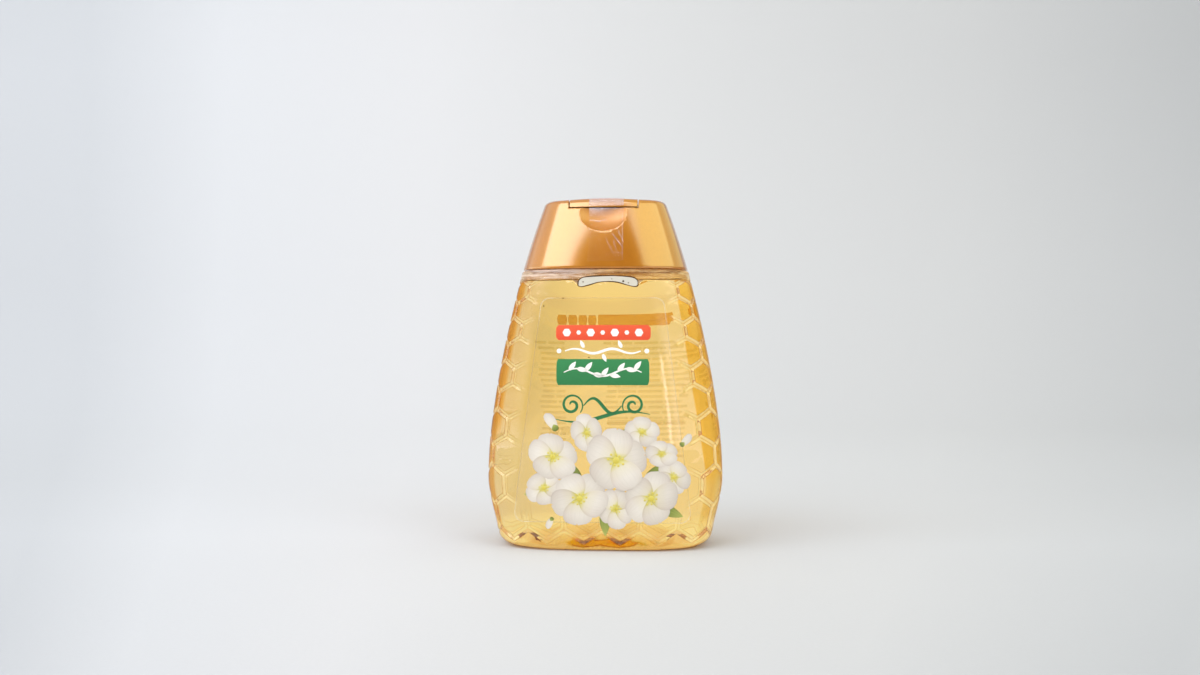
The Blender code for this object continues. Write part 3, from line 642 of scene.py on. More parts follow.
LEFT_FADE = (0.03, 0.043)
FOOT_LENS_SHADE = (
    (0.0, 1.0), (0.2, (0.93, 0.81, 0.69)), (0.5, (0.89, 0.75, 0.64)),
    (0.8, (0.82, 0.67, 0.6)), (1.0, (0.76, 0.61, 0.56)),
)


def wall_tint_and_painted_light(g):
    """The wall's tint with painted light: amber strips of shade at its sides, an amber shaded foot, and
    painted highlight and shade lines, pale and dark, along the grooves.
    """
    across, height = g.tone("across"), g.split(g.place())[2]
    tint = g.mix(g.rise(height, *RIGHT_FADE), g.ramp(across, *RIGHT_LOW), g.ramp(across, *RIGHT_HIGH))
    across = g.times(across, -1.0)
    left = g.mix(g.rise(height, *LEFT_FADE), g.ramp(across, *LEFT_LOW), g.ramp(across, *LEFT_HIGH))
    tint = g.tinted(tint, left)
    # Painted shade paler low down, then pale painted highlight lines and dark painted shade lines, then
    # painted amber shade on the foot
    tint = g.mix(g.times(g.tone("low"), 0.8), tint, (0.998, 0.965, 0.985))
    tint = g.mix(g.times(g.tone("pale"), 0.75), tint, (0.98, 0.95, 0.88))
    tint = g.tinted(tint, (0.72, 0.5, 0.25), g.tone("dark"))
    return g.tinted(tint, g.ramp(g.tone("foot"), *FOOT_LENS_SHADE))


def clear_look(name, gloss, tint=None):
    """A clear film, or the wall where no tint is given, with its painted light and a cream haze on its
    painted highlight lines: light passes unbent, with a mirror at the edges.
    """
    g = new_look(name)
    rough = g.ramp(g.noise(g.place((1.0, 1.0, 0.15)), 420.0), (0.35, 0.03), (0.7, 0.07))
    wave = g.bump(g.noise(g.place(), 160.0), 0.12, 0.0004)
    surface = g.both(g.mirror_share(gloss, wave), g.clear(tint or wall_tint_and_painted_light(g)), g.mirror(1.0, rough, wave))
    if not tint:
        # A cream haze on the painted highlight lines
        surface = g.both(g.times(g.tone("pale"), 0.2), surface, g.matt((1.0, 0.85, 0.56)))
    return g.finish(surface)


def shoulder_look():
    """Empty clear wall above the honey, with amber and pale streaks painted as light bent and mirrored in
    it, a painted shadow line under the cap and painted shade at the honey's level.
    """
    g = new_look("clear_shoulder")
    side, _, height = g.split(g.place())
    streak = g.noise(g.place((0.22, 0.22, 1.6)), 620.0, 4.0, 0.6)
    to_right = g.rise(side, -0.012, 0.004)
    # Painted shade at the honey's level, and a painted shadow under the cap, stronger in the middle
    level = g.rise(height, 0.0853, 0.0849)
    centre = g.line(g.math("ABSOLUTE", side), 0.009, 0.018, 1.0, 0.45)
    ledge = g.times(g.rise(height, 0.0869, 0.0873), centre)
    tint = g.ramp(to_right, (0.0, (0.97, 0.865, 0.7)), (1.0, (0.99, 0.88, 0.64)))
    # Amber streaks of painted light
    tint = g.tinted(tint, g.ramp(streak, (0.32, (0.92, 0.76, 0.54)), (0.46, 1.0)))
    tint = g.tinted(tint, (0.89, 0.79, 0.6), g.times(level, 0.8))
    tint = g.tinted(tint, (0.9, 0.8, 0.64), ledge)
    wave = g.bump(streak, 0.4, 0.0006)
    surface = g.both(g.mirror_share(0.8, wave), g.clear(tint), g.mirror((1.0, 0.96, 0.93), 0.08, wave))
    # Pale streaks as a painted gleam, weaker to the right and at the honey's level, with some over the
    # painted shadow under the cap
    painted_gleam = g.ramp(streak, (0.48, 0.12), (0.62, 0.5))
    for share in (g.times(to_right, 0.35), g.times(level, 0.8)):
        painted_gleam = g.times(painted_gleam, g.math("SUBTRACT", 1.0, share))
    painted_gleam = g.plus(painted_gleam, g.times(ledge, 0.22), True)
    gleam_tint = g.ramp(to_right, (0.0, (0.94, 0.79, 0.7)), (1.0, (0.93, 0.6, 0.26)))
    return g.finish(g.both(painted_gleam, surface, g.matt(gleam_tint)))


def gold_look(name, shift=0.0, rough=0.22, coat_rough=0.12, bright=1.0):
    """Pearly gold plastic with fine flakes and faint flow lines; a bright above 1 lightens it as painted
    light.
    """
    g = new_look(name)
    flakes = g.noise(g.place(), 5200.0, 1.0)
    flow = g.noise(g.place((1.0, 1.0, 0.35)), 120.0 + shift, 4.0, 0.6)
    base = g.ramp(flow, (0.3, (0.405, 0.128, 0.004)), (0.7, (0.47, 0.152, 0.006)))
    base = g.tinted(base, g.ramp(flakes, (0.35, 0.88 * bright), (0.68, 1.1 * bright)))
    surface = g.principled(
        base,
        g.ramp(flow, (0.3, rough), (0.75, rough + 0.05)),
        IOR=1.8,
        Specular_IOR_Level=0.5,
        Specular_Tint=(1.0, 0.72, 0.12),
        Coat_Weight=1.0,
        Coat_Roughness=coat_rough,
        Coat_IOR=1.7,
        Normal=g.bump(flakes, 0.12, 0.00004),
    )
    return g.finish(surface)


def plain_look(name, base, dark, rough):
    """Moulded plastic or silicone with a fine grain."""
    g = new_look(name)
    grain = g.noise(g.place(), 900.0, 4.0)
    rough = g.ramp(grain, (0.3, rough), (0.7, rough + 0.12))
    base = g.ramp(grain, (0.3, dark), (0.7, base))
    return g.finish(g.principled(base, rough, Normal=g.bump(grain, 0.15, 0.00008)))


def print_look(name, first, last, along=1):
    """Printed ink on film, from one screen colour to another across or along the piece, finely mottled."""
    g = new_look(name)
    base = g.ramp(g.print_place()[along], (0.0, screen(*first)), (1.0, screen(*last)))
    grain = g.noise(g.place(), 2600.0, 3.0)
    base = g.tinted(base, g.ramp(grain, (0.3, 0.94), (0.7, 1.024)))
    return g.finish(g.principled(base, 0.32, Normal=g.bump(grain, 0.1, 0.00003)))


def clear_ink_look(name, ink, through, share=0.2, kind="Translucent"):
    """Translucent ink on clear film, lit from behind: it tints what is seen through it."""
    g = new_look(name)
    bright = tuple(min(1.0, c * 1.06) for c in through)
    tint = g.ramp(g.noise(g.place(), 1400.0, 3.0), (0.3, through), (0.75, bright))
    return g.finish(g.both(share, g.clear(tint), g.matt(screen(*ink), kind)))


PETAL_TONES = (
    (0.0, (206, 196, 70)), (0.12, (222, 214, 134)), (0.26, (229, 221, 199)),
    (0.6, (228, 221, 210)), (1.0, (216, 208, 197)),
)
LEAF_TONES = ((0.0, (96, 108, 44)), (0.5, (138, 150, 66)), (1.0, (176, 180, 92)))


def petal_look():
    """Petals: a green-yellow throat, a warm white blade with faint veins, greyer edges."""
    g = new_look("petal_print")
    across, along = g.print_place()
    base = g.ramp(along, *((at, screen(*tone)) for at, tone in PETAL_TONES))
    stretched = g.get("CombineXYZ", {0: g.times(across, 26.0), 1: g.times(along, 2.2)})
    base = g.tinted(base, g.ramp(g.noise(stretched, 1.0, 3.0), (0.3, 0.94), (0.65, 1.0)))
    off = g.math("ABSOLUTE", g.math("SUBTRACT", across, 0.42))
    edge = ((0.12, 1.0), (0.4, (0.95, 0.93, 0.92)), (0.58, (0.84, 0.8, 0.79)))
    base = g.tinted(base, g.ramp(off, *edge, kind="EASE"))
    base = g.tinted(base, g.ramp(g.tone("tone"), (0.0, (0.8, 0.77, 0.74)), (1.0, 1.0)))
    return g.finish(g.principled(base, 0.34))


def leaf_look():
    """Leaves with a pale rib and slanting veins."""
    g = new_look("leaf_print")
    across, along = g.print_place()
    base = g.ramp(along, *((at, screen(*tone)) for at, tone in LEAF_TONES))
    off = g.math("ABSOLUTE", g.math("SUBTRACT", across, 0.5))
    base = g.tinted(base, g.ramp(off, (0.0, 1.3), (0.05, 0.86), (0.3, 1.0), (0.5, 0.75)))
    slant = g.plus(g.times(along, 16.0), g.times(off, -12.0))
    vein = g.math("SINE", g.times(slant, math.pi))
    base = g.tinted(base, g.ramp(vein, (0.0, 0.94), (0.9, 1.0), (1.0, 1.12)))
    return g.finish(g.principled(base, 0.34))


def tape_look():
    """Clear tape with a lavender sheen that grows in its creases: mirrored at a slant, and painted where
    its tone says.
    """
    g = new_look("seal_tape")
    wave = g.bump(g.noise(g.place((1.0, 1.0, 0.5)), 520.0, 4.0, 0.65), 0.5, 0.0005)
    sheen = g.both(0.86, g.mirror((0.97, 0.92, 1.0), 0.12, wave), g.matt((0.85, 0.81, 0.87)))
    # Its tone adds painted sheen over the lid's edge, below the lid and along its wrinkles
    share = g.plus(g.mirror_share(0.16, wave), g.tone("tone"), True)
    return g.finish(g.both(share, g.clear((0.998, 0.995, 0.998)), sheen))


HONEY = honey_look()
CLEAR = clear_look("clear_wall", 0.12)
FILM = clear_look("label_film", 0.6, (0.998, 0.996, 0.99))
SHOULDER = shoulder_look()
# The honey's edge as a line of painted shade, also used for the specks
MENISCUS_SHADE_AND_SPECKS = clear_ink_look("honey_edge", (120, 84, 40), (0.5, 0.38, 0.24))
GOLD = gold_look("gold_cap")
LID_GOLD = gold_look("gold_lid", 9.0)
# The thumb notch's gold, rougher and lightened as painted light
LIT_NOTCH_GOLD = gold_look("gold_notch", 4.0, 0.42, 0.36, 1.1)
PETAL = petal_look()
LEAF = leaf_look()
TAPE = tape_look()
RED = print_look("red_print", (228, 76, 44), (238, 96, 58))
GREEN = print_look("green_print", (40, 118, 66), (52, 134, 78))
SCRIPT_GREEN = print_look("line_print", (30, 104, 58), (44, 120, 70), along=0)
WHITE = print_look("white_print", (244, 240, 232), (252, 249, 244))
YELLOW = print_look("anther_print", (206, 186, 60), (232, 220, 110))
AMBER = clear_ink_look("back_band_print", (226, 160, 70), (0.965, 0.78, 0.46), 0.12)
OCHRE = clear_ink_look("back_line_print", (236, 190, 110), (0.99, 0.955, 0.86), 0.05)
# The label film's edge as a faint painted highlight
PALE = clear_ink_look("film_edge", (250, 244, 230), (0.998, 0.995, 0.99), 0.12, "Diffuse")
# A pale painted gleam on the air pocket
POCKET_GLEAM = clear_ink_look("pocket_gleam", (226, 224, 212), (0.95, 0.93, 0.88), 0.7, "Diffuse")
SILICONE = plain_look("valve_silicone", (0.86, 0.84, 0.78), (0.78, 0.76, 0.7), 0.3)
RETAINER = plain_look("retainer_grain", (0.9, 0.88, 0.82), (0.82, 0.8, 0.74), 0.38)


# Bottle and honey

# Where the painted amber shade on the right starts, as shares of the half width at heights, and the share
# of the tint's table that it fills
STRIP_HEIGHTS, STRIP_FROM = (8.0, 24.0, 35.0, 54.0, 80.0), (0.84, 0.85, 0.82, 0.79, 0.8)
STRIP_SHARE = 0.23
# Painted amber shade along the foot: height at the sides, how much higher in the middle, and its half width
LENS_LOW, LENS_RISE, LENS_HALF = 1.8, 4.8, 27.0
# Painted shade made paler low down: the height up to which it is full, and its fade
PALE_END, PALE_FADE = 6.0, 6.0


def make_wall():
    """The clear wall up to the honey's level, with tones for its tint and its painted light."""
    points, faces = body_shell(WALL_INSET)
    x, z = points[:, 0], points[:, 2]
    unlined = np.zeros(len(points) - len(lattice.groove))
    foot_top = LENS_LOW + LENS_RISE * np.clip(1.0 - (x / LENS_HALF) ** 2, 0.0, 1.0)
    across = x / (body_halves(z)[0] * (1.0 - foot_taper(z)))
    strip = STRIP_SHARE / (1.0 - np.interp(z, STRIP_HEIGHTS, STRIP_FROM))
    # Tones that carry the painted light: paler low down, amber on the foot and at the sides, and the groove
    # lines
    tones = {
        "low": 1.0 - smooth((z - PALE_END) / PALE_FADE),
        "foot": np.clip((foot_top - z) / foot_top, 0.0, 1.0),
        "across": np.where(across > 0, 1.0 - (1.0 - across) * strip, across),
        "pale": np.concatenate([lattice.shown(GROOVE_HIGHLIGHT), unlined]),
        "dark": np.concatenate([lattice.shown(GROOVE_SHADE), unlined]),
    }
    wall = make_piece("bottle_wall", points, faces, CLEAR, tones=tones)
    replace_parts(wall, "bottle")


def make_honey():
    points, faces = body_shell(WALL_INSET + HONEY_GAP, dipped=True)
    rim = points[lattice.top_edge]
    front = rim[:, 1].min()
    rings = []
    for share, rise in SURFACE_RINGS:
        ring = rim.copy()
        ring[:, :2] *= share
        behind = np.clip((ring[:, 1] - front) / (-2.0 * front), 0.0, 1.0)
        ring[:, 2] = LEVEL + rise - pocket(ring[:, 0]) * (1.0 + (POCKET_BACK_SHARE - 1.0) * behind)
        rings.append(ring)
    middle = (0.0, 0.0, LEVEL - 0.75)
    points, faces = cover_rings(points, faces, lattice.top_edge, rings, middle, upwards=True)
    honey = make_piece("honey", points, faces, HONEY)
    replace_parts(honey, "honey_fill")


def cap_halves(z, inset=0.0):
    share = min(max((z - CAP_BOTTOM) / (CAP_TOP - CAP_BOTTOM), 0.0), 1.0)
    above = max(z - (CAP_TOP - CAP_EDGE), 0.0)
    rounding = CAP_EDGE - math.sqrt(max(CAP_EDGE**2 - above**2, 0.0))
    grow = CAP_BULGE * math.sin(math.pi * share) - rounding - inset
    return tuple((low + (high - low) * share) / 2 + grow for low, high in zip(CAP_BASE, CAP_CROWN))


# Shoulder: heights of its outer and inner rings, and radius and height along the neck
SHOULDER_LOW, BOSS_TOP, BOSS_INSET, BOSS_WALL = LEVEL + 0.12, 89.8, 1.7, 0.9
SHOULDER_OUTSIDE = (SHOULDER_LOW, 85.2, 85.8, 86.4, 87.0, 87.45)
SHOULDER_INSIDE = (86.9, 86.2, 85.4, SHOULDER_LOW)
NECK = (
    (9.4, 90.9), (8.5, 91.8), (8.5, 96.2), (9.1, 96.9), (9.1, 97.6),
    (8.5, 98.3), (8.5, 101.5), (6.9, 101.5), (6.9, 90.9),
)


def make_shoulder():
    """The wall above the honey, the ledge under the cap, the low boss and the neck."""
    u = np.arange(ROUND) / STEPS
    bevel = bevel_width(ROWS)
    width = column_length(LEVEL)
    rings = []
    for s in SHOULDER_OUTSIDE:
        place, normal = body_frame(u, np.full(ROUND, s))
        groove = []
        for value in u:
            at, rise = lattice.zigzag(1, value)
            lean = width / math.hypot(width, rise)
            groove.append(np.interp(abs(s - at) * lean / bevel, GROOVE_AT, GROOVE_DEPTH))
        depth = RELIEF * relief_share(u, np.full(ROUND, s)) * np.array(groove)
        rings.append(place - normal * depth[:, None])

    def oval(halves, inset, z):
        return ring_points(ROUND, float(halves[0]) - inset, float(halves[1]) - inset, CAP_POWER, z)

    top, boss = body_halves(BODY_HEIGHT), cap_halves(BOSS_TOP, BOSS_INSET)
    rings += [oval(top, 0.12, BODY_HEIGHT - 0.2), oval(top, 0.42, BODY_HEIGHT)]
    rings += [oval(boss, 0.0, BODY_HEIGHT), oval(boss, 0.0, BOSS_TOP)]
    rings += [ring_points(ROUND, radius, radius, 2.0, z) for radius, z in NECK]
    rings += [oval(boss, BOSS_WALL, z - BOSS_WALL) for z in (BOSS_TOP, BODY_HEIGHT)]
    for s in SHOULDER_INSIDE:
        place, normal = body_frame(u, np.full(ROUND, s))
        rings.append(place - normal * WALL_THICKNESS)
    shoulder = make_piece("bottle_shoulder", *ring_stack(rings, looped=True), SHOULDER, angle=40)
    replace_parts(shoulder, "bottle")


make_wall()
make_honey()
make_shoulder()


# Labels

LABEL_LOW, LABEL_HIGH, LABEL_CORNER = 9.0, 79.0, 3.0
LABEL_WIDTH, LABEL_TOP_WIDTH = 55.0, 39.0
PRINT_LIFT, EDGE_LINE_WIDTH, HONEY_EDGE_LIFT = 0.16, 0.36, -0.08


def grid_sheets(name, grids, material, lift=PRINT_LIFT, facing=-1, thickness=0.04):
    """Thin closed prints on a panel from grids of x and z, each with its own extra lift and tone."""
    points, faces, uv, tones = [], [], [], []
    for x, z, extra, tone in grids:
        rows, columns = x.shape
        faces += sheet_faces(rows, columns, len(points))
        for level in (0.0, thickness):
            y = facing * panel_depth(x, z, lift + extra + level)
            points += list(np.stack([x, y, z], -1).reshape(-1, 3))
            uv += list(np.stack(grid(columns, rows, 0.0), -1).reshape(-1, 2))
            tones += [tone] * (rows * columns)
    if facing > 0:
        faces = [face[::-1] for face in faces]
    piece = make_piece(name, points, faces, material, angle=50, uv=uv, tones={"tone": tones})
    return piece


def rectangle(x0, x1, z0, z1, across, along, corner):
    """A band, its ends drawn in by a corner radius."""
    s, t = grid(across + 1, along + 1)
    edge = corner * (1.0 - np.sqrt(np.clip(1.0 - np.abs(2 * t - 1) ** 4, 0.0, 1.0)))
    return (x0 + x1) / 2 + ((x1 - x0) / 2 - edge) * s, z0 + (z1 - z0) * t, 0.0, 1.0


def spot(cx, cz, radius, extra=0.0, corners=0, n=7):
    """A round or many-cornered spot, as a square grid drawn onto it."""
    s, t = np.meshgrid(np.linspace(-1, 1, n), np.linspace(-1, 1, n))
    x, z = s * np.sqrt(1 - t * t / 2), t * np.sqrt(1 - s * s / 2)
    if corners:
        sector = np.arctan2(z, x) % (2 * math.pi / corners) - math.pi / corners
        shape = math.cos(math.pi / corners) / np.cos(sector)
        x, z = x * shape, z * shape
    return cx + radius * x, cz + radius * z, extra, 1.0


def ribbon(path, widths, extra=0.0):
    """A stroke along a path of (x, z), with its own width at each point."""
    path = np.asarray(path, float)
    widths = np.broadcast_to(np.asarray(widths, float), len(path))
    way = np.gradient(path, axis=0)
    way /= np.linalg.norm(way, axis=1)[:, None]
    side = np.stack([-way[:, 1], way[:, 0]], -1)
    s = np.array((1.0, 0.0, -1.0))
    strip = path[:, None, :] + side[:, None, :] * (widths[:, None] * s[None, :] / 2)[..., None]
    return strip[..., 0], strip[..., 1], extra, 1.0


def blade(
    cx, cz, length, width, angle, bend=0.0, extra=0.0, tone=1.0, pointed=False, notch=0.07, squash=None
):
    """A petal or leaf that starts at a place and points at an angle in degrees."""
    s, t = grid(9, 15)
    q = 0.05 + 0.95 * t
    if pointed:
        half = 0.5 * width * np.sin(math.pi * q**0.8) ** 0.8
        half = np.maximum(half, 0.02 * width)
        forward = t * length
    else:
        peak = 0.62
        below = (1.0 - (np.abs(q - peak) / peak) ** 2.0).clip(0.0) ** 0.85
        above = (1.0 - (np.abs(q - peak) / (1.0 - peak)) ** 2.6).clip(0.0) ** 0.5
        half = 0.5 * width * np.where(q < peak, below, above)
        half = np.maximum(half, 0.04 * width)
        forward = length * (t - notch * (1.0 - np.abs(s)) ** 1.5 * smooth((t - 0.6) / 0.4))
    side = s * half + bend * length * t**2
    a = math.radians(angle)
    x = forward * math.cos(a) - side * math.sin(a)
    z = forward * math.sin(a) + side * math.cos(a)
    if squash:
        turn, share = math.radians(squash[0]), squash[1]
        across = x * math.cos(turn) + z * math.sin(turn)
        x = x - (1.0 - share) * across * math.cos(turn)
        z = z - (1.0 - share) * across * math.sin(turn)
    return (cx + x)[:, ::-1], (cz + z)[:, ::-1], extra, tone


def label_film(name, facing):
    """The clear film of a label, narrower towards its top."""
    s, t = grid(41, 60, -0.5, 0.5)
    x = (LABEL_WIDTH - (LABEL_WIDTH - LABEL_TOP_WIDTH) * t) * s
    z = LABEL_LOW + (LABEL_HIGH - LABEL_LOW) * t
    return grid_sheets(name, [(x, z, 0.0, 1.0)], FILM, 0.08, facing, 0.05)


def label_edge():
    # The film's edge as a faint pale line of painted highlight
    bottom, top = LABEL_WIDTH / 2 - LABEL_CORNER, LABEL_TOP_WIDTH / 2 - LABEL_CORNER
    low, high = LABEL_LOW + LABEL_CORNER, LABEL_HIGH - LABEL_CORNER
    outline = []
    for cx, cz, start in ((bottom, low, -90), (top, high, 0), (-top, high, 90), (-bottom, low, 180)):
        for k in range(10):
            a = math.radians(start + 10.0 * k)
            outline.append((cx + LABEL_CORNER * math.cos(a), cz + LABEL_CORNER * math.sin(a)))
    grid_sheets("label_film_edge", [ribbon(outline + outline[:1], EDGE_LINE_WIDTH)], PALE, 0.14)


def wave_line(start, reach, height, swing, waves, samples=61):
    """Points of a wavy line, and the swell of its stroke along it."""
    t = np.linspace(0, 1, samples)
    line = np.stack([start + reach * t, height + swing * np.sin(waves * math.pi * t)], -1)
    return line, np.sin(math.pi * t)


def print_bands():
    """The red band of cells, the white wavy twig and the green band with its sprig."""
    grid_sheets("label_red_band", [rectangle(-14.4, 15.2, 65.8, 70.5, 24, 6, 0.8)], RED)
    comb = [spot(-11.0 + 3.76 * k, 68.15, 0.75 if k % 2 else 1.35, corners=6, n=9) for k in range(7)]
    grid_sheets("label_band_cells", comb, WHITE, PRINT_LIFT + 0.05)
    start, reach, height = -11.5, 23.6, 62.4
    wave, swelling = wave_line(start, reach, height, 0.7, 4)
    line = [ribbon(wave, 0.35 + 0.5 * swelling)]
    line += [spot(x, height, 0.75) for x in (-13.4, 14.0)]
    for k, d in ((0.25, 1), (0.5, -1), (0.75, 1)):
        line.append(blade(start + reach * k, height + d, 2.6, 1.2, 90 * d + 25, pointed=True))
    grid_sheets("label_white_line", line, WHITE)
    grid_sheets("label_green_band", [rectangle(-14.2, 14.8, 51.8, 59.9, 24, 8, 0.5)], GREEN)
    start, reach, height, swing = -11.8, 24.2, 55.8, 1.15
    stem, swelling = wave_line(start, reach, height, swing, 3)
    sprig = [ribbon(stem, 0.3 + 0.32 * swelling)]
    for k in range(9):
        at = 0.07 + 0.105 * k
        z = height + swing * math.sin(3 * math.pi * at)
        sprig.append(blade(start + reach * at, z, 3.3, 1.5, 20 + 32 * (-1) ** k, pointed=True))
    grid_sheets("label_sprig", sprig, WHITE, PRINT_LIFT + 0.05)


def print_flourish():
    """Two green curls, a sweep under them and an arch between them."""
    lines = []
    turn = np.linspace(0, 1, 90)
    for side in (-1, 1):
        angle = turn * 3.1 * math.pi + 0.4
        radius = 0.45 + 3.1 * turn**0.8
        x, z = side * 9.6 + 0.3 + side * radius * np.cos(angle), 45.6 + radius * np.sin(angle)
        curl = np.stack([x, z], -1)
        lines.append(ribbon(curl, 0.35 + 0.55 * np.sin(math.pi * turn**0.7)))
    sweep, swelling = wave_line(-14.6, 29.6, 41.2, -1.2, 2, 80)
    sweep[:, 1] += 1.6 * np.linspace(0, 1, 80)
    lines.append(ribbon(sweep, 0.22 + 0.95 * swelling**1.5))
    arch, swelling = wave_line(-5.6, 11.8, 45.4, 2.3, 2, 60)
    lines.append(ribbon(arch, 0.3 + 0.75 * swelling))
    grid_sheets("label_flourish", lines, SCRIPT_GREEN)


# Leaves: start, length, width, angle and bend. Blossoms: middle, radius, turn, squash direction and
# share, lift. Buds: start, angle and length
LEAVES = (
    (-6.5, 21.5, 11.0, 4.4, 128, 0.12), (4.0, 30.5, 10.5, 4.2, 66, -0.12), (13.5, 22.5, 10.5, 4.2, 28, 0.1),
    (-14.5, 20.0, 10.0, 3.8, 200, -0.1), (1.5, 14.0, 9.0, 3.6, 262, 0.1), (18.0, 14.5, 8.0, 3.4, -32, 0.1),
)
BLOSSOMS = (
    (-4.6, 37.0, 6.2, 100, (20, 0.8), 0.0), (12.6, 37.4, 5.6, 160, (80, 0.85), 0.0),
    (22.4, 23.4, 5.8, 130, (40, 0.85), 0.0), (4.4, 13.6, 6.6, 200, (10, 0.85), 0.02),
    (-18.0, 19.8, 6.2, 210, (120, 0.85), 0.0), (-15.2, 29.5, 8.2, 20, (60, 0.86), 0.06),
    (-6.8, 16.6, 9.2, 50, (110, 0.9), 0.1), (4.6, 28.6, 10.2, 12, (30, 0.92), 0.18),
    (15.4, 16.8, 9.0, 75, (140, 0.88), 0.1), (18.6, 30.6, 5.2, 30, (80, 0.8), 0.02),
)
BUDS = ((-14.0, 37.6, 118, 6.4), (-15.2, 10.6, 236, 4.0), (24.4, 33.0, 40, 4.8))
PETALS_EACH, PETAL_STEP, STAMENS_EACH = 5, 0.012, 9


def print_blossoms():
    """Plain five-petalled blossoms with their stamens, leaves and buds."""
    leaves = [blade(*leaf, pointed=True) for leaf in LEAVES]
    petals, anthers = [], []
    for cx, cz, radius, turn, squash, base in BLOSSOMS:
        for k in range(PETALS_EACH):
            tone = 0.55 + 0.45 * (0.5 + 0.5 * math.sin(2.3 * k + cx))
            bend, extra = 0.04 * math.sin(k * 2.1), base + PETAL_STEP * k
            angle = turn + 360.0 / PETALS_EACH * k
            petals.append(blade(cx, cz, radius, radius * 1.02, angle, bend, extra, tone, squash=squash))
        top = base + PETAL_STEP * PETALS_EACH + 0.04
        anthers.append(spot(cx, cz, radius * 0.1, top))
        for k in range(STAMENS_EACH):
            angle = math.radians(turn + 360.0 / STAMENS_EACH * k)
            reach = radius * (0.2 + 0.05 * math.sin(5.0 * k))
            ex, ez = cx + reach * math.cos(angle), cz + reach * math.sin(angle)
            stamen = [(cx, cz), ((cx + ex) / 2, (cz + ez) / 2), (ex, ez)]
            anthers.append(ribbon(stamen, (0.16, 0.14, 0.12), top))
            anthers.append(spot(ex, ez, radius * 0.035, top + 0.02))
    for x, z, angle, length in BUDS:
        petals.append(blade(x, z, length, length * 0.5, angle, 0.1, 0.05, 0.9, notch=0.0))
        leaves.append(blade(x, z, length * 0.34, length * 0.34, angle, 0.0, 0.07, pointed=True))
    grid_sheets("label_leaves", leaves, LEAF)
    grid_sheets("label_petals", petals, PETAL, PRINT_LIFT + 0.01)
    grid_sheets("label_stamens", anthers, YELLOW, PRINT_LIFT + 0.02)


# Air pocket: its outline from the left corner over the top, and back below from the right corner
POCKET_UPPER = ((-9.4, 83.5), (-9.1, 84.6), (-7.6, 85.5), (-4.0, 85.85), (0.0, 85.95))
POCKET_LOWER = ((9.3, 82.8), (8.2, 82.5), (6.0, 83.0), (3.0, 83.85), (0.0, 84.1))
# Specks by the honey's surface and one lower down: place and radius
SPECKS = (
    (-6.0, 84.0, 0.2), (6.6, 84.2, 0.3), (8.2, 83.7, 0.16), (3.0, 84.9, 0.14),
    (-12.3, 78.9, 0.22), (-18.5, 76.5, 0.2), (-4.0, 60.4, 0.2),
)


def pocket_outline():
    """The air pocket's outline on the wall, as a smooth closed curve."""
    path = []
    for part in (POCKET_UPPER, POCKET_LOWER):
        path += [*part, *((-x, z) for x, z in part[-2::-1])]
    path = np.array(path) + (POCKET_MIDDLE, 0.0)
    turns = np.linspace(0, len(path), 161)
    t = (turns % 1.0)[:, None]
    before, here, after, later = (path[(turns.astype(int) + k) % len(path)] for k in (-1, 0, 1, 2))
    return 0.5 * (
        2 * here
        + (after - before) * t
        + (2 * before - 5 * here + 4 * after - later) * t**2
        + (3 * here - before - 3 * after + later) * t**3
    )


def make_honey_edge():
    """The dark line of painted shade where the honey's surface meets the wall, the specks, and the painted
    gleam of the air pocket.
    """
    outline = pocket_outline()
    width = 0.22 + 0.14 * np.cos(np.linspace(0, 6 * math.pi, len(outline))) ** 2
    # Painted shade round the air pocket and along the honey's edge, with the specks
    lines = [ribbon(outline, width, HONEY_EDGE_LIFT)]
    for start, end, rise in ((-25.0, -8.0, 0.0), (11.6, 25.0, 0.5)):
        t = np.linspace(0, 1, 40)
        line = np.stack([start + (end - start) * t, LEVEL - 0.1 + rise * t + 0.12 * np.sin(9 * t)], -1)
        lines.append(ribbon(line, 0.14, HONEY_EDGE_LIFT))
    lines += [spot(*speck, HONEY_EDGE_LIFT) for speck in SPECKS]
    grid_sheets("honey_edge_line", lines, MENISCUS_SHADE_AND_SPECKS)
    # The air pocket's painted gleam, a pale sheet between its upper and lower outline
    loop = np.roll(outline[:-1], -outline[:-1, 0].argmin(), axis=0)
    right = loop[:, 0].argmax()
    over, under = loop[: right + 1], np.concatenate([loop[right:], loop[:1]])[::-1]
    x = np.linspace(loop[0, 0] + 0.05, loop[right, 0] - 0.05, 61)
    top, low = (np.interp(x, side[:, 0], side[:, 1]) for side in (over, under))
    z = low + (top - low) * np.linspace(0, 1, 7)[:, None]
    grid_sheets("pocket_gleam", [(np.broadcast_to(x, z.shape), z, 0.0, 1.0)], POCKET_GLEAM, 0.03)


# Back label: spacing of the blocks and where the first lies, and the rows of bars from the top down
BLOCK_PITCH, BLOCK_FROM, BLOCK_TO = 2.95, -15.0, -12.3
BAR_ROWS, BAR_TOP, BAR_PITCH, BAR_HEIGHT, BAR_GAP, BAR_LEAST = 22, 63.4, 1.76, 0.86, 0.42, 1.6
BAR_COLUMNS = ((-20.6, -13.2), (-1.2, 22.0))


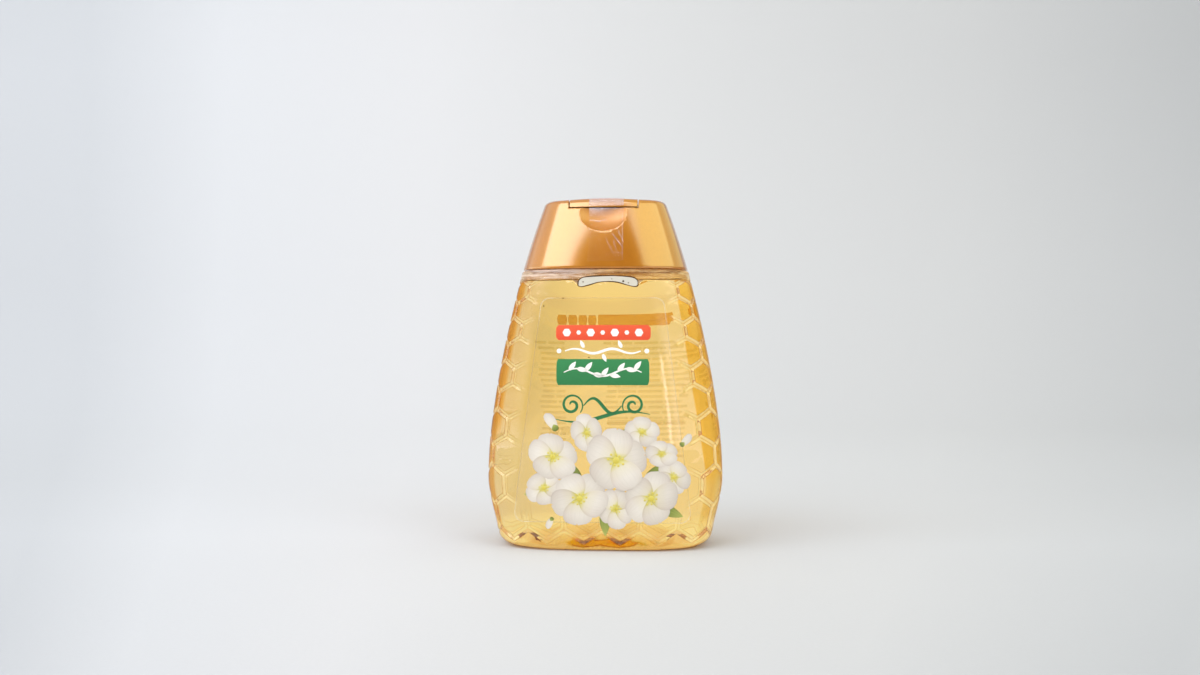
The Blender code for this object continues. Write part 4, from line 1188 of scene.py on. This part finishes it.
def print_back():
    """A band of amber blocks and rows of plain bars, seen through the honey."""
    bands = [rectangle(-3.0, 17.2, 69.4, 73.2, 24, 4, 0.2)]
    for k in range(4):
        start, end = BLOCK_FROM + BLOCK_PITCH * k, BLOCK_TO + BLOCK_PITCH * k
        bands.append(rectangle(start, end, 69.8, 73.0, 4, 3, 0.3))
    grid_sheets("back_label_band", bands, AMBER, facing=1)
    bars = [rectangle(0.0, 21.6, 36.8, 38.6, 20, 3, 0.2)]
    for row in range(BAR_ROWS):
        z = BAR_TOP - BAR_PITCH * row
        for start, end in BAR_COLUMNS:
            x = start + 1.2 * abs(math.sin(3.7 * row))
            k = 0
            while x < end - BAR_LEAST:
                length = 2.6 + 4.2 * abs(math.sin(12.9 * row + 4.1 * k))
                bars.append(rectangle(x, min(x + length, end), z, z + BAR_HEIGHT, 5, 2, 0.1))
                x += length + BAR_GAP
                k += 1
    bars += [rectangle(-18.0 + 3.4 * k, -15.2 + 3.4 * k, 33.6, 36.4, 5, 5, 0.6) for k in range(5)]
    grid_sheets("back_label_lines", bars, OCHRE, facing=1)


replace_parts(label_film("front_label_film", -1), "front_label")
label_edge()
print_bands()
print_flourish()
print_blossoms()
make_honey_edge()
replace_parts(label_film("back_label_film", 1), "back_label")
print_back()


# Cap and lid

NOTCH_FORWARD, NOTCH_NEAR = 4.0, 0.02
NOTCH_RADII = (10.5, 5.5, 8.45)
CAP_WALL, LID_WALL, NOTCH_WALL, LID_DEPTH, CAP_COLUMNS = 1.4, 1.1, 1.3, 1.2, 192
SHARP_ANGLE, CAP_SOFTNESS, LID_SOFTNESS = 40, 0.12, 0.14
# Cap's lower edge: height above its bottom and how far in, and where the plain side starts
LOWER_EDGE, SIDE_START = ((0.0, 0.35), (0.08, 0.12), (0.3, 0.0)), 0.9
# Radius and height above the recess's floor of the spout ring, and below the cap's top of the plug
ORIFICE_RADIUS = 3.8
SPOUT_RING = ((4.8, -0.5), (4.8, 0.75), (4.55, 1.0))
PLUG = ((3.1, -3.4), (3.4, -2.8), (3.4, -0.6))
# Ends of the forms that cut out through the cap's front and top
PAST_FRONT, PAST_TOP = -33.0, CAP_TOP + 1.0


def solid(name, points, faces):
    return make_piece(name, points, faces, GOLD, body=None, angle=30)


def settle(target):
    """Applies all modifiers of a piece."""
    dg = bpy.context.evaluated_depsgraph_get()
    mesh = bpy.data.meshes.new_from_object(target.evaluated_get(dg))
    target.modifiers.clear()
    target.data = mesh


def carve(target, *tools):
    """Applies Booleans with tools as (object, operation), then removes the tools."""
    for tool, operation in tools:
        change = target.modifiers.new(tool.name, "BOOLEAN")
        change.operation = operation
        change.object = tool
        change.solver = "EXACT"
    settle(target)
    for tool, _ in tools:
        bpy.data.objects.remove(tool, do_unlink=True)


def soften(target, width):
    """Rounds the sharp edges a little, and keeps the faces smooth."""
    change = target.modifiers.new("soft_edges", "BEVEL")
    change.width = width * 0.001
    change.segments = 2
    change.limit_method = "ANGLE"
    change.angle_limit = math.radians(38)
    change.harden_normals = True
    settle(target)


def dress(piece, name, *looks):
    """Names a carved piece and gives it its looks and smooth faces."""
    piece.name = name
    piece.data.materials.clear()
    for made in looks:
        piece.data.materials.append(made)
    piece.data.shade_smooth()
    piece.data.set_sharp_from_angle(angle=math.radians(SHARP_ANGLE))


def cap_form(name, inset=0.0, low=CAP_BOTTOM, high=CAP_TOP - CAP_EDGE, columns=CAP_COLUMNS, steps=22):
    """The cap's outer form with its rounded edges, or with an inset its plain hollow."""
    start = low if inset else low + SIDE_START
    sizes = [(float(z), inset) for z in np.linspace(start, high, steps)]
    if not inset:
        turns = np.linspace(0, math.pi / 2, 10)[1:]
        sizes = [(low + up, drawn) for up, drawn in LOWER_EDGE] + sizes
        sizes += [(float(high + CAP_EDGE * math.sin(turn)), 0.0) for turn in turns]
    rings = [ring_points(columns, *cap_halves(z, drawn), CAP_POWER, z) for z, drawn in sizes]
    points, faces = ring_stack(rings)
    ends = [tuple(range(columns))[::-1], tuple(range(len(points) - columns, len(points)))]
    return solid(name, points, faces + ends)


def box_form(name, low, high):
    x, y, z = zip(low, high)
    points = [(x[i], y[j], z[k]) for k in (0, 1) for j, i in ((0, 0), (0, 1), (1, 1), (1, 0))]
    faces = [(3, 2, 1, 0), (4, 5, 6, 7)] + strip_faces(range(4), range(4, 8))
    return solid(name, points, faces)


def turned_form(name, *profile):
    rings = [ring_points(96, r, r, 2.0, z) for r, z in profile]
    return solid(name, *ring_stack(rings, ((0, 0, profile[0][1]), (0, 0, profile[-1][1]))))


def cap_front(x, z, lift=0.0):
    a, b = cap_halves(float(z), -lift)
    return -b * (1.0 - np.clip(np.abs(x) / a, 0.0, 1.0) ** CAP_POWER) ** (1.0 / CAP_POWER)


NOTCH_MIDDLE = np.array([0.0, float(cap_front(0.0, LID_BOTTOM)) - NOTCH_FORWARD, LID_BOTTOM])


def egg_form(name, grown=0.0, columns=96, rows=48):
    """The egg-shaped form that the thumb notch is cut with."""
    wide, deep, tall = (radius + grown for radius in NOTCH_RADII)
    angle = np.linspace(0, 2 * math.pi, columns, endpoint=False)
    rings = []
    for row in range(1, rows):
        polar = math.pi * (row / rows - 0.5)
        x, y = wide * math.cos(polar) * np.cos(angle), deep * math.cos(polar) * np.sin(angle)
        rings.append(NOTCH_MIDDLE + np.stack([x, y, np.full(columns, tall * math.sin(polar))], -1))
    up = np.array([0.0, 0.0, tall])
    return solid(name, *ring_stack(rings, (NOTCH_MIDDLE - up, NOTCH_MIDDLE + up)))


def crown(x, y, z):
    """How much the lid's top is domed above the cap's."""
    rise = smooth((z - LID_BOTTOM) / (CAP_TOP - LID_BOTTOM)) * smooth((LID_BACK - y) / CROWN_FADE)
    return LID_CROWN * (1.0 - (x / (LID_HALF + 0.2)) ** 2) * rise


def make_cap():
    """The cap with its hollow, recess, thumb notch, orifice and spout ring."""
    cap = cap_form("cap")
    hollow = cap_form("hollow", CAP_WALL, CAP_BOTTOM - 1.0, DECK_UNDER, columns=96, steps=6)
    carve(hollow, (egg_form("keep", NOTCH_WALL, 48, 24), "DIFFERENCE"))
    low, high = (-RECESS_HALF, PAST_FRONT, RECESS_FLOOR), (RECESS_HALF, RECESS_BACK, PAST_TOP)
    recess = box_form("recess", low, high)
    orifice = turned_form("orifice", *((ORIFICE_RADIUS, z) for z in (DECK_UNDER - 2.0, RECESS_FLOOR + 3.0)))
    rim = [(radius, RECESS_FLOOR + up) for radius, up in SPOUT_RING]
    notch = egg_form("notch")
    cuts = [(tool, "DIFFERENCE") for tool in (hollow, recess, notch)]
    carve(cap, *cuts, (turned_form("rim", *rim), "UNION"), (orifice, "DIFFERENCE"))
    soften(cap, CAP_SOFTNESS)
    dress(cap, "cap_shell", GOLD, LIT_NOTCH_GOLD)
    # The notch's faces take the lightened gold of painted light
    for face in cap.data.polygons:
        off = (1000.0 * np.array(face.center) - NOTCH_MIDDLE) / NOTCH_RADII
        face.material_index = int(abs(float(off @ off) - 1.0) < NOTCH_NEAR)
    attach(cap, "bottle_body")
    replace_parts(cap, "cap_body")


# Collar that snaps on the neck: radius and height along its section
COLLAR = (
    (9.4, 94.2), (10.6, 94.2), (10.6, 103.0), (9.05, 103.0), (9.05, 106.3), (7.85, 106.3), (7.85, 101.8),
    (9.4, 101.8), (9.4, 95.6), (9.05, 95.3), (9.05, 94.9), (9.4, 94.5),
)


def make_collar():
    rings = [ring_points(96, r, r, 2.0, z) for r, z in COLLAR]
    collar = make_piece("cap_collar", *ring_stack(rings, looped=True), GOLD, angle=30)


def make_lid():
    """The flush tongue, hollow below, with its sealing plug and domed top."""
    lid = cap_form("lid")
    tongue = box_form("tongue", (-LID_HALF, PAST_FRONT, LID_BOTTOM), (LID_HALF, LID_BACK, PAST_TOP))
    low = (-LID_HALF + LID_WALL, float(cap_front(LID_HALF, LID_BOTTOM)) + LID_WALL, LID_BOTTOM - 1.0)
    space = box_form("space", low, (LID_HALF - LID_WALL, LID_BACK + 1.0, CAP_TOP - LID_DEPTH))
    plug = turned_form("plug", *((radius, CAP_TOP + up) for radius, up in PLUG))
    carve(lid, (tongue, "INTERSECT"), (space, "DIFFERENCE"), (plug, "UNION"))
    soften(lid, LID_SOFTNESS)
    for vertex in lid.data.vertices:
        vertex.co.z += 0.001 * float(crown(*(1000.0 * c for c in vertex.co)))
    dress(lid, "lid_tongue", LID_GOLD)
    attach(lid, "lid")
    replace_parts(lid, "flip_lid")


WEB_HALF, WEB_GAP, WEB_DROP = 7.0, 0.02, 0.06


def make_hinge_web():
    """The thin web between the lid's back edge and the cap, made flat, as it lies with the lid shut."""
    rows, columns = 17, 25
    s, t = grid(columns, rows)
    y = LID_BACK + WEB_GAP + (RECESS_BACK - LID_BACK - 2 * WEB_GAP) * t
    thin = 0.2 + 0.2 * (2 * t - 1) ** 2
    top = CAP_TOP - WEB_DROP
    layers = [np.stack([WEB_HALF * s, y, z], -1) for z in (top - thin, np.full_like(thin, top))]
    points = np.concatenate(layers).reshape(-1, 3)
    web = make_piece("hinge_web", points, sheet_faces(rows, columns), LID_GOLD, body=None, angle=50)
    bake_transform(web)
    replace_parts(web, "living_hinge")


# Tamper tape

TAPE_LEFT, TAPE_WIDTH, TAPE_LIFT, TAPE_THICKNESS = -4.5, 11.0, 0.12, 0.05
CAP_TAPE_LOW, CAP_TAPE_HIGH, LID_TAPE_LOW = 90.5, 107.7, 108.4
LID_TAPE_FLAT = 6.4
TAPE_SHOULDER = CAP_TOP - CAP_EDGE
# Painted sheen on the tape: how much over the lid's edge, at what height and how far from there
EDGE_SHEEN, EDGE_SHEEN_AT, EDGE_SHEEN_REACH = 0.17, 109.8, 1.5
# How much painted sheen below the lid, how much more on the left, and how far down
LOW_SHEEN, LEFT_SHEEN, LOW_SHEEN_DEPTH = 0.03, 0.12, 4.2
WRINKLE_WIDTH = 0.16
# Wrinkles: from x and z to x and z, and how much painted sheen they add
WRINKLES = (
    ((2.8, 99.6), (6.4, 94.8), 0.14),
    ((4.6, 101.0), (6.3, 97.2), 0.12),
    ((0.6, 98.6), (3.6, 92.6), 0.07),
    ((3.4, 97.6), (4.4, 93.4), 0.08),
    ((6.2, 107.0), (6.2, 91.0), 0.09),
    ((-4.4, 103.8), (-0.6, 103.2), 0.2),
    ((-2.0, 103.3), (1.2, 103.9), 0.14),
    ((2.0, 93.4), (7.6, 93.1), 0.04),
)


def tape_sheen(x, y, z):
    """How much painted sheen the tape shows: most over the lid's edge, less lower down, and along its
    wrinkles.
    """
    shown = EDGE_SHEEN * math.exp(-(((z - EDGE_SHEEN_AT) / EDGE_SHEEN_REACH) ** 2))
    to_left = 1.0 - smooth((x + 1.5) / 6.0)
    fading = 1.0 - smooth((LID_BOTTOM - z) / LOW_SHEEN_DEPTH)
    shown += (LOW_SHEEN + LEFT_SHEEN * to_left) * fading * (z < LID_BOTTOM)
    for (x0, z0), (x1, z1), strength in WRINKLES:
        length = math.hypot(x1 - x0, z1 - z0)
        along = ((x - x0) * (x1 - x0) + (z - z0) * (z1 - z0)) / length**2
        off = ((x - x0) * (z1 - z0) - (z - z0) * (x1 - x0)) / length
        if 0.0 < along < 1.0:
            across = math.exp(-((off / WRINKLE_WIDTH) ** 2))
            shown += strength * across * math.sin(math.pi * along) ** 0.5
    return shown


def crease(x, z):
    near = math.exp(-(((x - 5.2) / 1.4) ** 2))
    fold_line = math.sin(z * 1.1 + x * 1.7) * math.sin(z * 0.6 - x * 2.2)
    return max(0.09 * near * fold_line + 0.02 * math.sin(z * 1.3) * math.sin(x * 0.9), -0.1)


def cap_tape_place(x, t, lift):
    z = CAP_TAPE_LOW + (CAP_TAPE_HIGH - CAP_TAPE_LOW) * t
    return x, float(cap_front(x, z, TAPE_LIFT + lift)) - crease(x, z), z


def lid_tape_place(x, t, lift):
    """Up the lid's front, round its edge and on over its top."""
    rise, arc = TAPE_SHOULDER - LID_TAPE_LOW, CAP_EDGE * math.pi / 2
    along = t * (rise + arc + LID_TAPE_FLAT)
    off = TAPE_LIFT + lift + 0.4 * crease(x, 100.0 + along)
    if along <= rise:
        return x, float(cap_front(x, LID_TAPE_LOW + along, off)), LID_TAPE_LOW + along
    centre = float(cap_front(x, TAPE_SHOULDER)) + CAP_EDGE
    turn = min((along - rise) / arc, 1.0) * math.pi / 2
    y = centre - (CAP_EDGE + off) * math.cos(turn) + max(along - rise - arc, 0.0)
    z = TAPE_SHOULDER + (CAP_EDGE + off) * math.sin(turn)
    return x, y, z + float(crown(x, y, min(z, CAP_TOP)))


def tape_strip(name, node_name, body, rows, place_at):
    """A clear strip of tape with creases along its right edge."""
    columns = 89
    s, t = grid(columns, rows, 0.0)
    ways = np.stack([TAPE_LEFT + TAPE_WIDTH * s, t], -1).reshape(-1, 2)
    points = [place_at(*way, lift) for lift in (0.0, TAPE_THICKNESS) for way in ways]
    tones = {"tone": [tape_sheen(*point) for point in points]}
    tape = make_piece(name, points, sheet_faces(rows, columns), TAPE, body=body, angle=60, tones=tones)
    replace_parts(tape, node_name)


make_cap()
make_collar()
make_lid()
make_hinge_web()
tape_strip("tape_on_cap", "seal_tape_cap", "bottle_body", 139, cap_tape_place)
tape_strip("tape_on_lid", "seal_tape_lid", "lid", 61, lid_tape_place)

# Carried CAD nodes inside the cap
for name, made in (("dispensing_valve", SILICONE), ("valve_retainer", RETAINER)):
    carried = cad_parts[name]
    carried.data.materials.clear()
    carried.data.materials.append(made)


# Stage, lights and camera

CAMERA_DISTANCE, CAMERA_HEIGHT = 0.386, 0.0666
CAMERA_AZIMUTH, CAMERA_YAW = math.radians(3.7), math.radians(0.277)
# Painted light on the paper: its colours from left to right of the picture, and its greys from front to
# back
PAPER_LIGHT_FAN = (
    (0.0, (0.64, 0.664, 0.7)), (0.12, (0.738, 0.757, 0.79)), (0.3, (0.762, 0.768, 0.787)),
    (0.5, (0.715, 0.723, 0.728)), (0.75, (0.656, 0.665, 0.668)), (1.0, (0.535, 0.55, 0.56)),
)
PAPER_LIGHT_DEPTH = ((0.24, 0.885), (0.4, 0.965), (0.55, 0.95), (0.8, 0.98), (1.0, 0.99))
SWEEP_START, SWEEP_RADIUS, SWEEP_TOP = 0.45, 0.9, 3.5
PAPER_FLAT, PAPER_SIDES = (-2.5, -0.5, 0.4), (-3.0, 1.15)
LIGHT_AIM, LIGHT_DISTANCE = 0.06, 1.5


def paper_look():
    """White paper with painted light, brighter to the left. Through the honey it glows, a painted glow,
    less so close to the bottle as a painted shadow.
    """
    g = new_look("backdrop_paper")
    where = g.place()
    x, y, z = g.split(where)
    away = g.math("MAXIMUM", g.plus(y, CAMERA_DISTANCE), 0.2)
    slant = g.times(g.math("DIVIDE", x, away), g.rise(y, -0.32, -0.18))
    depth = g.plus(y, 0.4)
    # Painted light: brighter to the left, with greys from front to back, leaning with depth and height
    base = g.tinted(g.ramp(g.plus(slant, 0.5), *PAPER_LIGHT_FAN), g.ramp(depth, *PAPER_LIGHT_DEPTH))
    lean = g.plus(g.line(depth, 0.45, 0.9, 0.12, 0.0), g.line(z, 0.12, 0.45, 0.0, -0.14))
    base = g.tinted(base, g.plus(g.times(slant, lean), 1.0))
    grain = g.noise(where, 900.0, 4.0)
    base = g.tinted(base, g.ramp(grain, (0.3, 0.985), (0.7, 1.0)))
    paper = g.principled(base, 0.75, Specular_IOR_Level=0.2, Normal=g.bump(grain, 0.2, 0.0002))
    flat = g.get("CombineXYZ", {0: x, 1: g.times(y, 1.6)})
    reach = g.get("VectorMath", {0: flat}, "Value", operation="LENGTH")
    # A painted glow for rays through the honey, dimmer close to the bottle as a painted shadow
    lit = g.rise(reach, 0.02, 0.075, 0.66, 1.0)
    glow = g.get("Emission", {"Color": (1.0, 0.97, 0.93), "Strength": lit})
    return g.finish(g.both(g.ray("Transmission"), paper, glow))


def make_stage():
    """White paper that sweeps up behind the bottle."""
    profile = [(y, 0.0) for y in PAPER_FLAT]
    for turn in np.linspace(0, math.pi / 2, 33):
        profile.append((SWEEP_START + SWEEP_RADIUS * math.sin(turn), SWEEP_RADIUS * (1 - math.cos(turn))))
    profile.append((SWEEP_START + SWEEP_RADIUS, SWEEP_TOP))
    points = [(x * 1000, y * 1000, z * 1000) for y, z in profile for x in PAPER_SIDES]
    faces = [(2 * k, 2 * k + 1, 2 * k + 3, 2 * k + 2) for k in range(len(profile) - 1)]
    floor = make_piece("backdrop", points, faces, paper_look(), body=None)


def aimed(name, data, place, way):
    """Puts a light or the camera in a place, looking along a direction."""
    thing = bpy.data.objects.new(name, data)
    bpy.context.scene.collection.objects.link(thing)
    thing.location = place
    thing.rotation_mode = "QUATERNION"
    thing.rotation_quaternion = way.to_track_quat("-Z", "Y")
    return thing


def area_light(name, azimuth, elevation, size, power):
    """A softbox aimed at the bottle. Azimuth 0 is the camera's side, positive to its right."""
    data = bpy.data.lights.new(name, "AREA")
    data.shape = "RECTANGLE"
    data.size, data.size_y = size
    data.energy = power
    a, e = math.radians(azimuth), math.radians(elevation)
    back = Vector((math.sin(a) * math.cos(e), -math.cos(a) * math.cos(e), math.sin(e)))
    lamp = aimed(name, data, Vector((0.0, 0.0, LIGHT_AIM)) + back * LIGHT_DISTANCE, -back)
    lamp.visible_glossy = False
    lamp.visible_transmission = False


# What the surfaces mirror, in degrees: azimuth from and to, elevation from and to, softness,
# strength, and how much each side edge leans with the elevation above LEAN_FROM
MIRRORED = (
    (-62.0, -18.5, 19.0, 50.0, 3.5, 5.8, 0.0, 1.6),
    (21.0, 84.0, 20.0, 50.0, 3.0, 3.4, -1.2, 0.0),
    (-200.0, -60.0, 14.0, 50.0, 6.0, 1.3, 0.0, 0.0),
    (82.0, 200.0, 14.0, 50.0, 6.0, 1.4, 0.0, 0.0),
    (-110.0, -46.0, -14.0, 14.0, 8.0, 2.4, 0.0, 0.0),
    (19.0, 21.4, -3.0, 9.0, 0.9, 3.0, 0.0, 0.0),
    (24.0, 74.0, -14.0, 14.0, 5.0, 1.5, 0.0, 0.0),
    (-200.0, 100.0, -40.0, 5.0, 6.0, 0.9, 0.0, 0.0),
    (-200.0, 200.0, 54.0, 100.0, 7.0, 1.0, 0.0, 0.0),
)
MIRRORED_ELSEWHERE, LEAN_FROM = 0.1, 26.0
ROOM, FAR_WALL = 0.88, 0.76


def mirrored_level(g, azimuth, elevation):
    """Brightness of what the surfaces mirror."""
    mirrored = MIRRORED_ELSEWHERE
    above = g.math("SUBTRACT", elevation, LEAN_FROM)
    for left, right, low, high, soft, strength, left_lean, right_lean in MIRRORED:
        box = strength
        for value, edge, lean, start, end in (
            (azimuth, left, left_lean, 0.0, 1.0),
            (azimuth, right, right_lean, 1.0, 0.0),
            (elevation, low, 0.0, 0.0, 1.0),
            (elevation, high, 0.0, 1.0, 0.0),
        ):
            if lean:
                value = g.math("SUBTRACT", value, g.times(above, lean))
            box = g.times(g.rise(value, edge - soft, edge + soft, start, end), box)
        mirrored = g.plus(mirrored, box)
    return mirrored


def make_world():
    """A room that lights evenly, with softboxes in front of it that only mirrors see."""
    world = bpy.data.worlds.new("studio")
    bpy.context.scene.world = world
    g = Graph(world)
    world.cycles.sampling_method = "NONE"
    x, y, z = g.split(g.get("TexCoord", output="Generated"))
    to_degrees = 180.0 / math.pi
    azimuth = g.times(g.math("ARCTAN2", x, g.times(y, -1.0)), to_degrees)
    elevation = g.times(g.math("ARCSINE", z), to_degrees)
    level = g.times(g.line(x, -1.0, 1.0, 1.12, 0.88), ROOM)
    for kind, seen in (
        ("Glossy", mirrored_level(g, azimuth, elevation)),
        ("Transmission", g.line(y, -1.0, -0.2, 0.7, 1.0)),
        ("Camera", FAR_WALL),
    ):
        level = g.get("Mix", {0: g.ray(kind), 2: level, 3: seen}, data_type="FLOAT")
    warm = g.times(g.line(azimuth, 10.0, 24.0), g.line(elevation, 12.0, 18.0))
    tone = g.mix(g.times(warm, g.ray("Glossy")), 1.0, (0.95, 0.98, 0.58))
    light = g.get("Background", {"Color": tone, "Strength": level})
    g.add("OutputWorld", {"Surface": light})


def make_camera():
    data = bpy.data.cameras.new("camera")
    data.lens, data.sensor_width = 35.4, 36.0
    data.clip_start, data.clip_end = 0.01, 20.0
    side, back = math.sin(CAMERA_AZIMUTH), -math.cos(CAMERA_AZIMUTH)
    place = (CAMERA_DISTANCE * side, CAMERA_DISTANCE * back, CAMERA_HEIGHT)
    yaw = CAMERA_AZIMUTH + CAMERA_YAW
    way = Vector((-math.sin(yaw), math.cos(yaw), 0.0))
    bpy.context.scene.camera = aimed("camera", data, place, way)


make_stage()
make_world()
area_light("left_softbox", -50, 38, (1.3, 1.1), 11.5)
area_light("right_softbox", 42, 34, (0.9, 0.9), 5.0)
make_camera()
scene = bpy.context.scene
scene.view_settings.view_transform = "Standard"
scene.cycles.max_bounces = scene.cycles.transmission_bounces = scene.cycles.glossy_bounces = 20
scene.cycles.transparent_max_bounces = 40
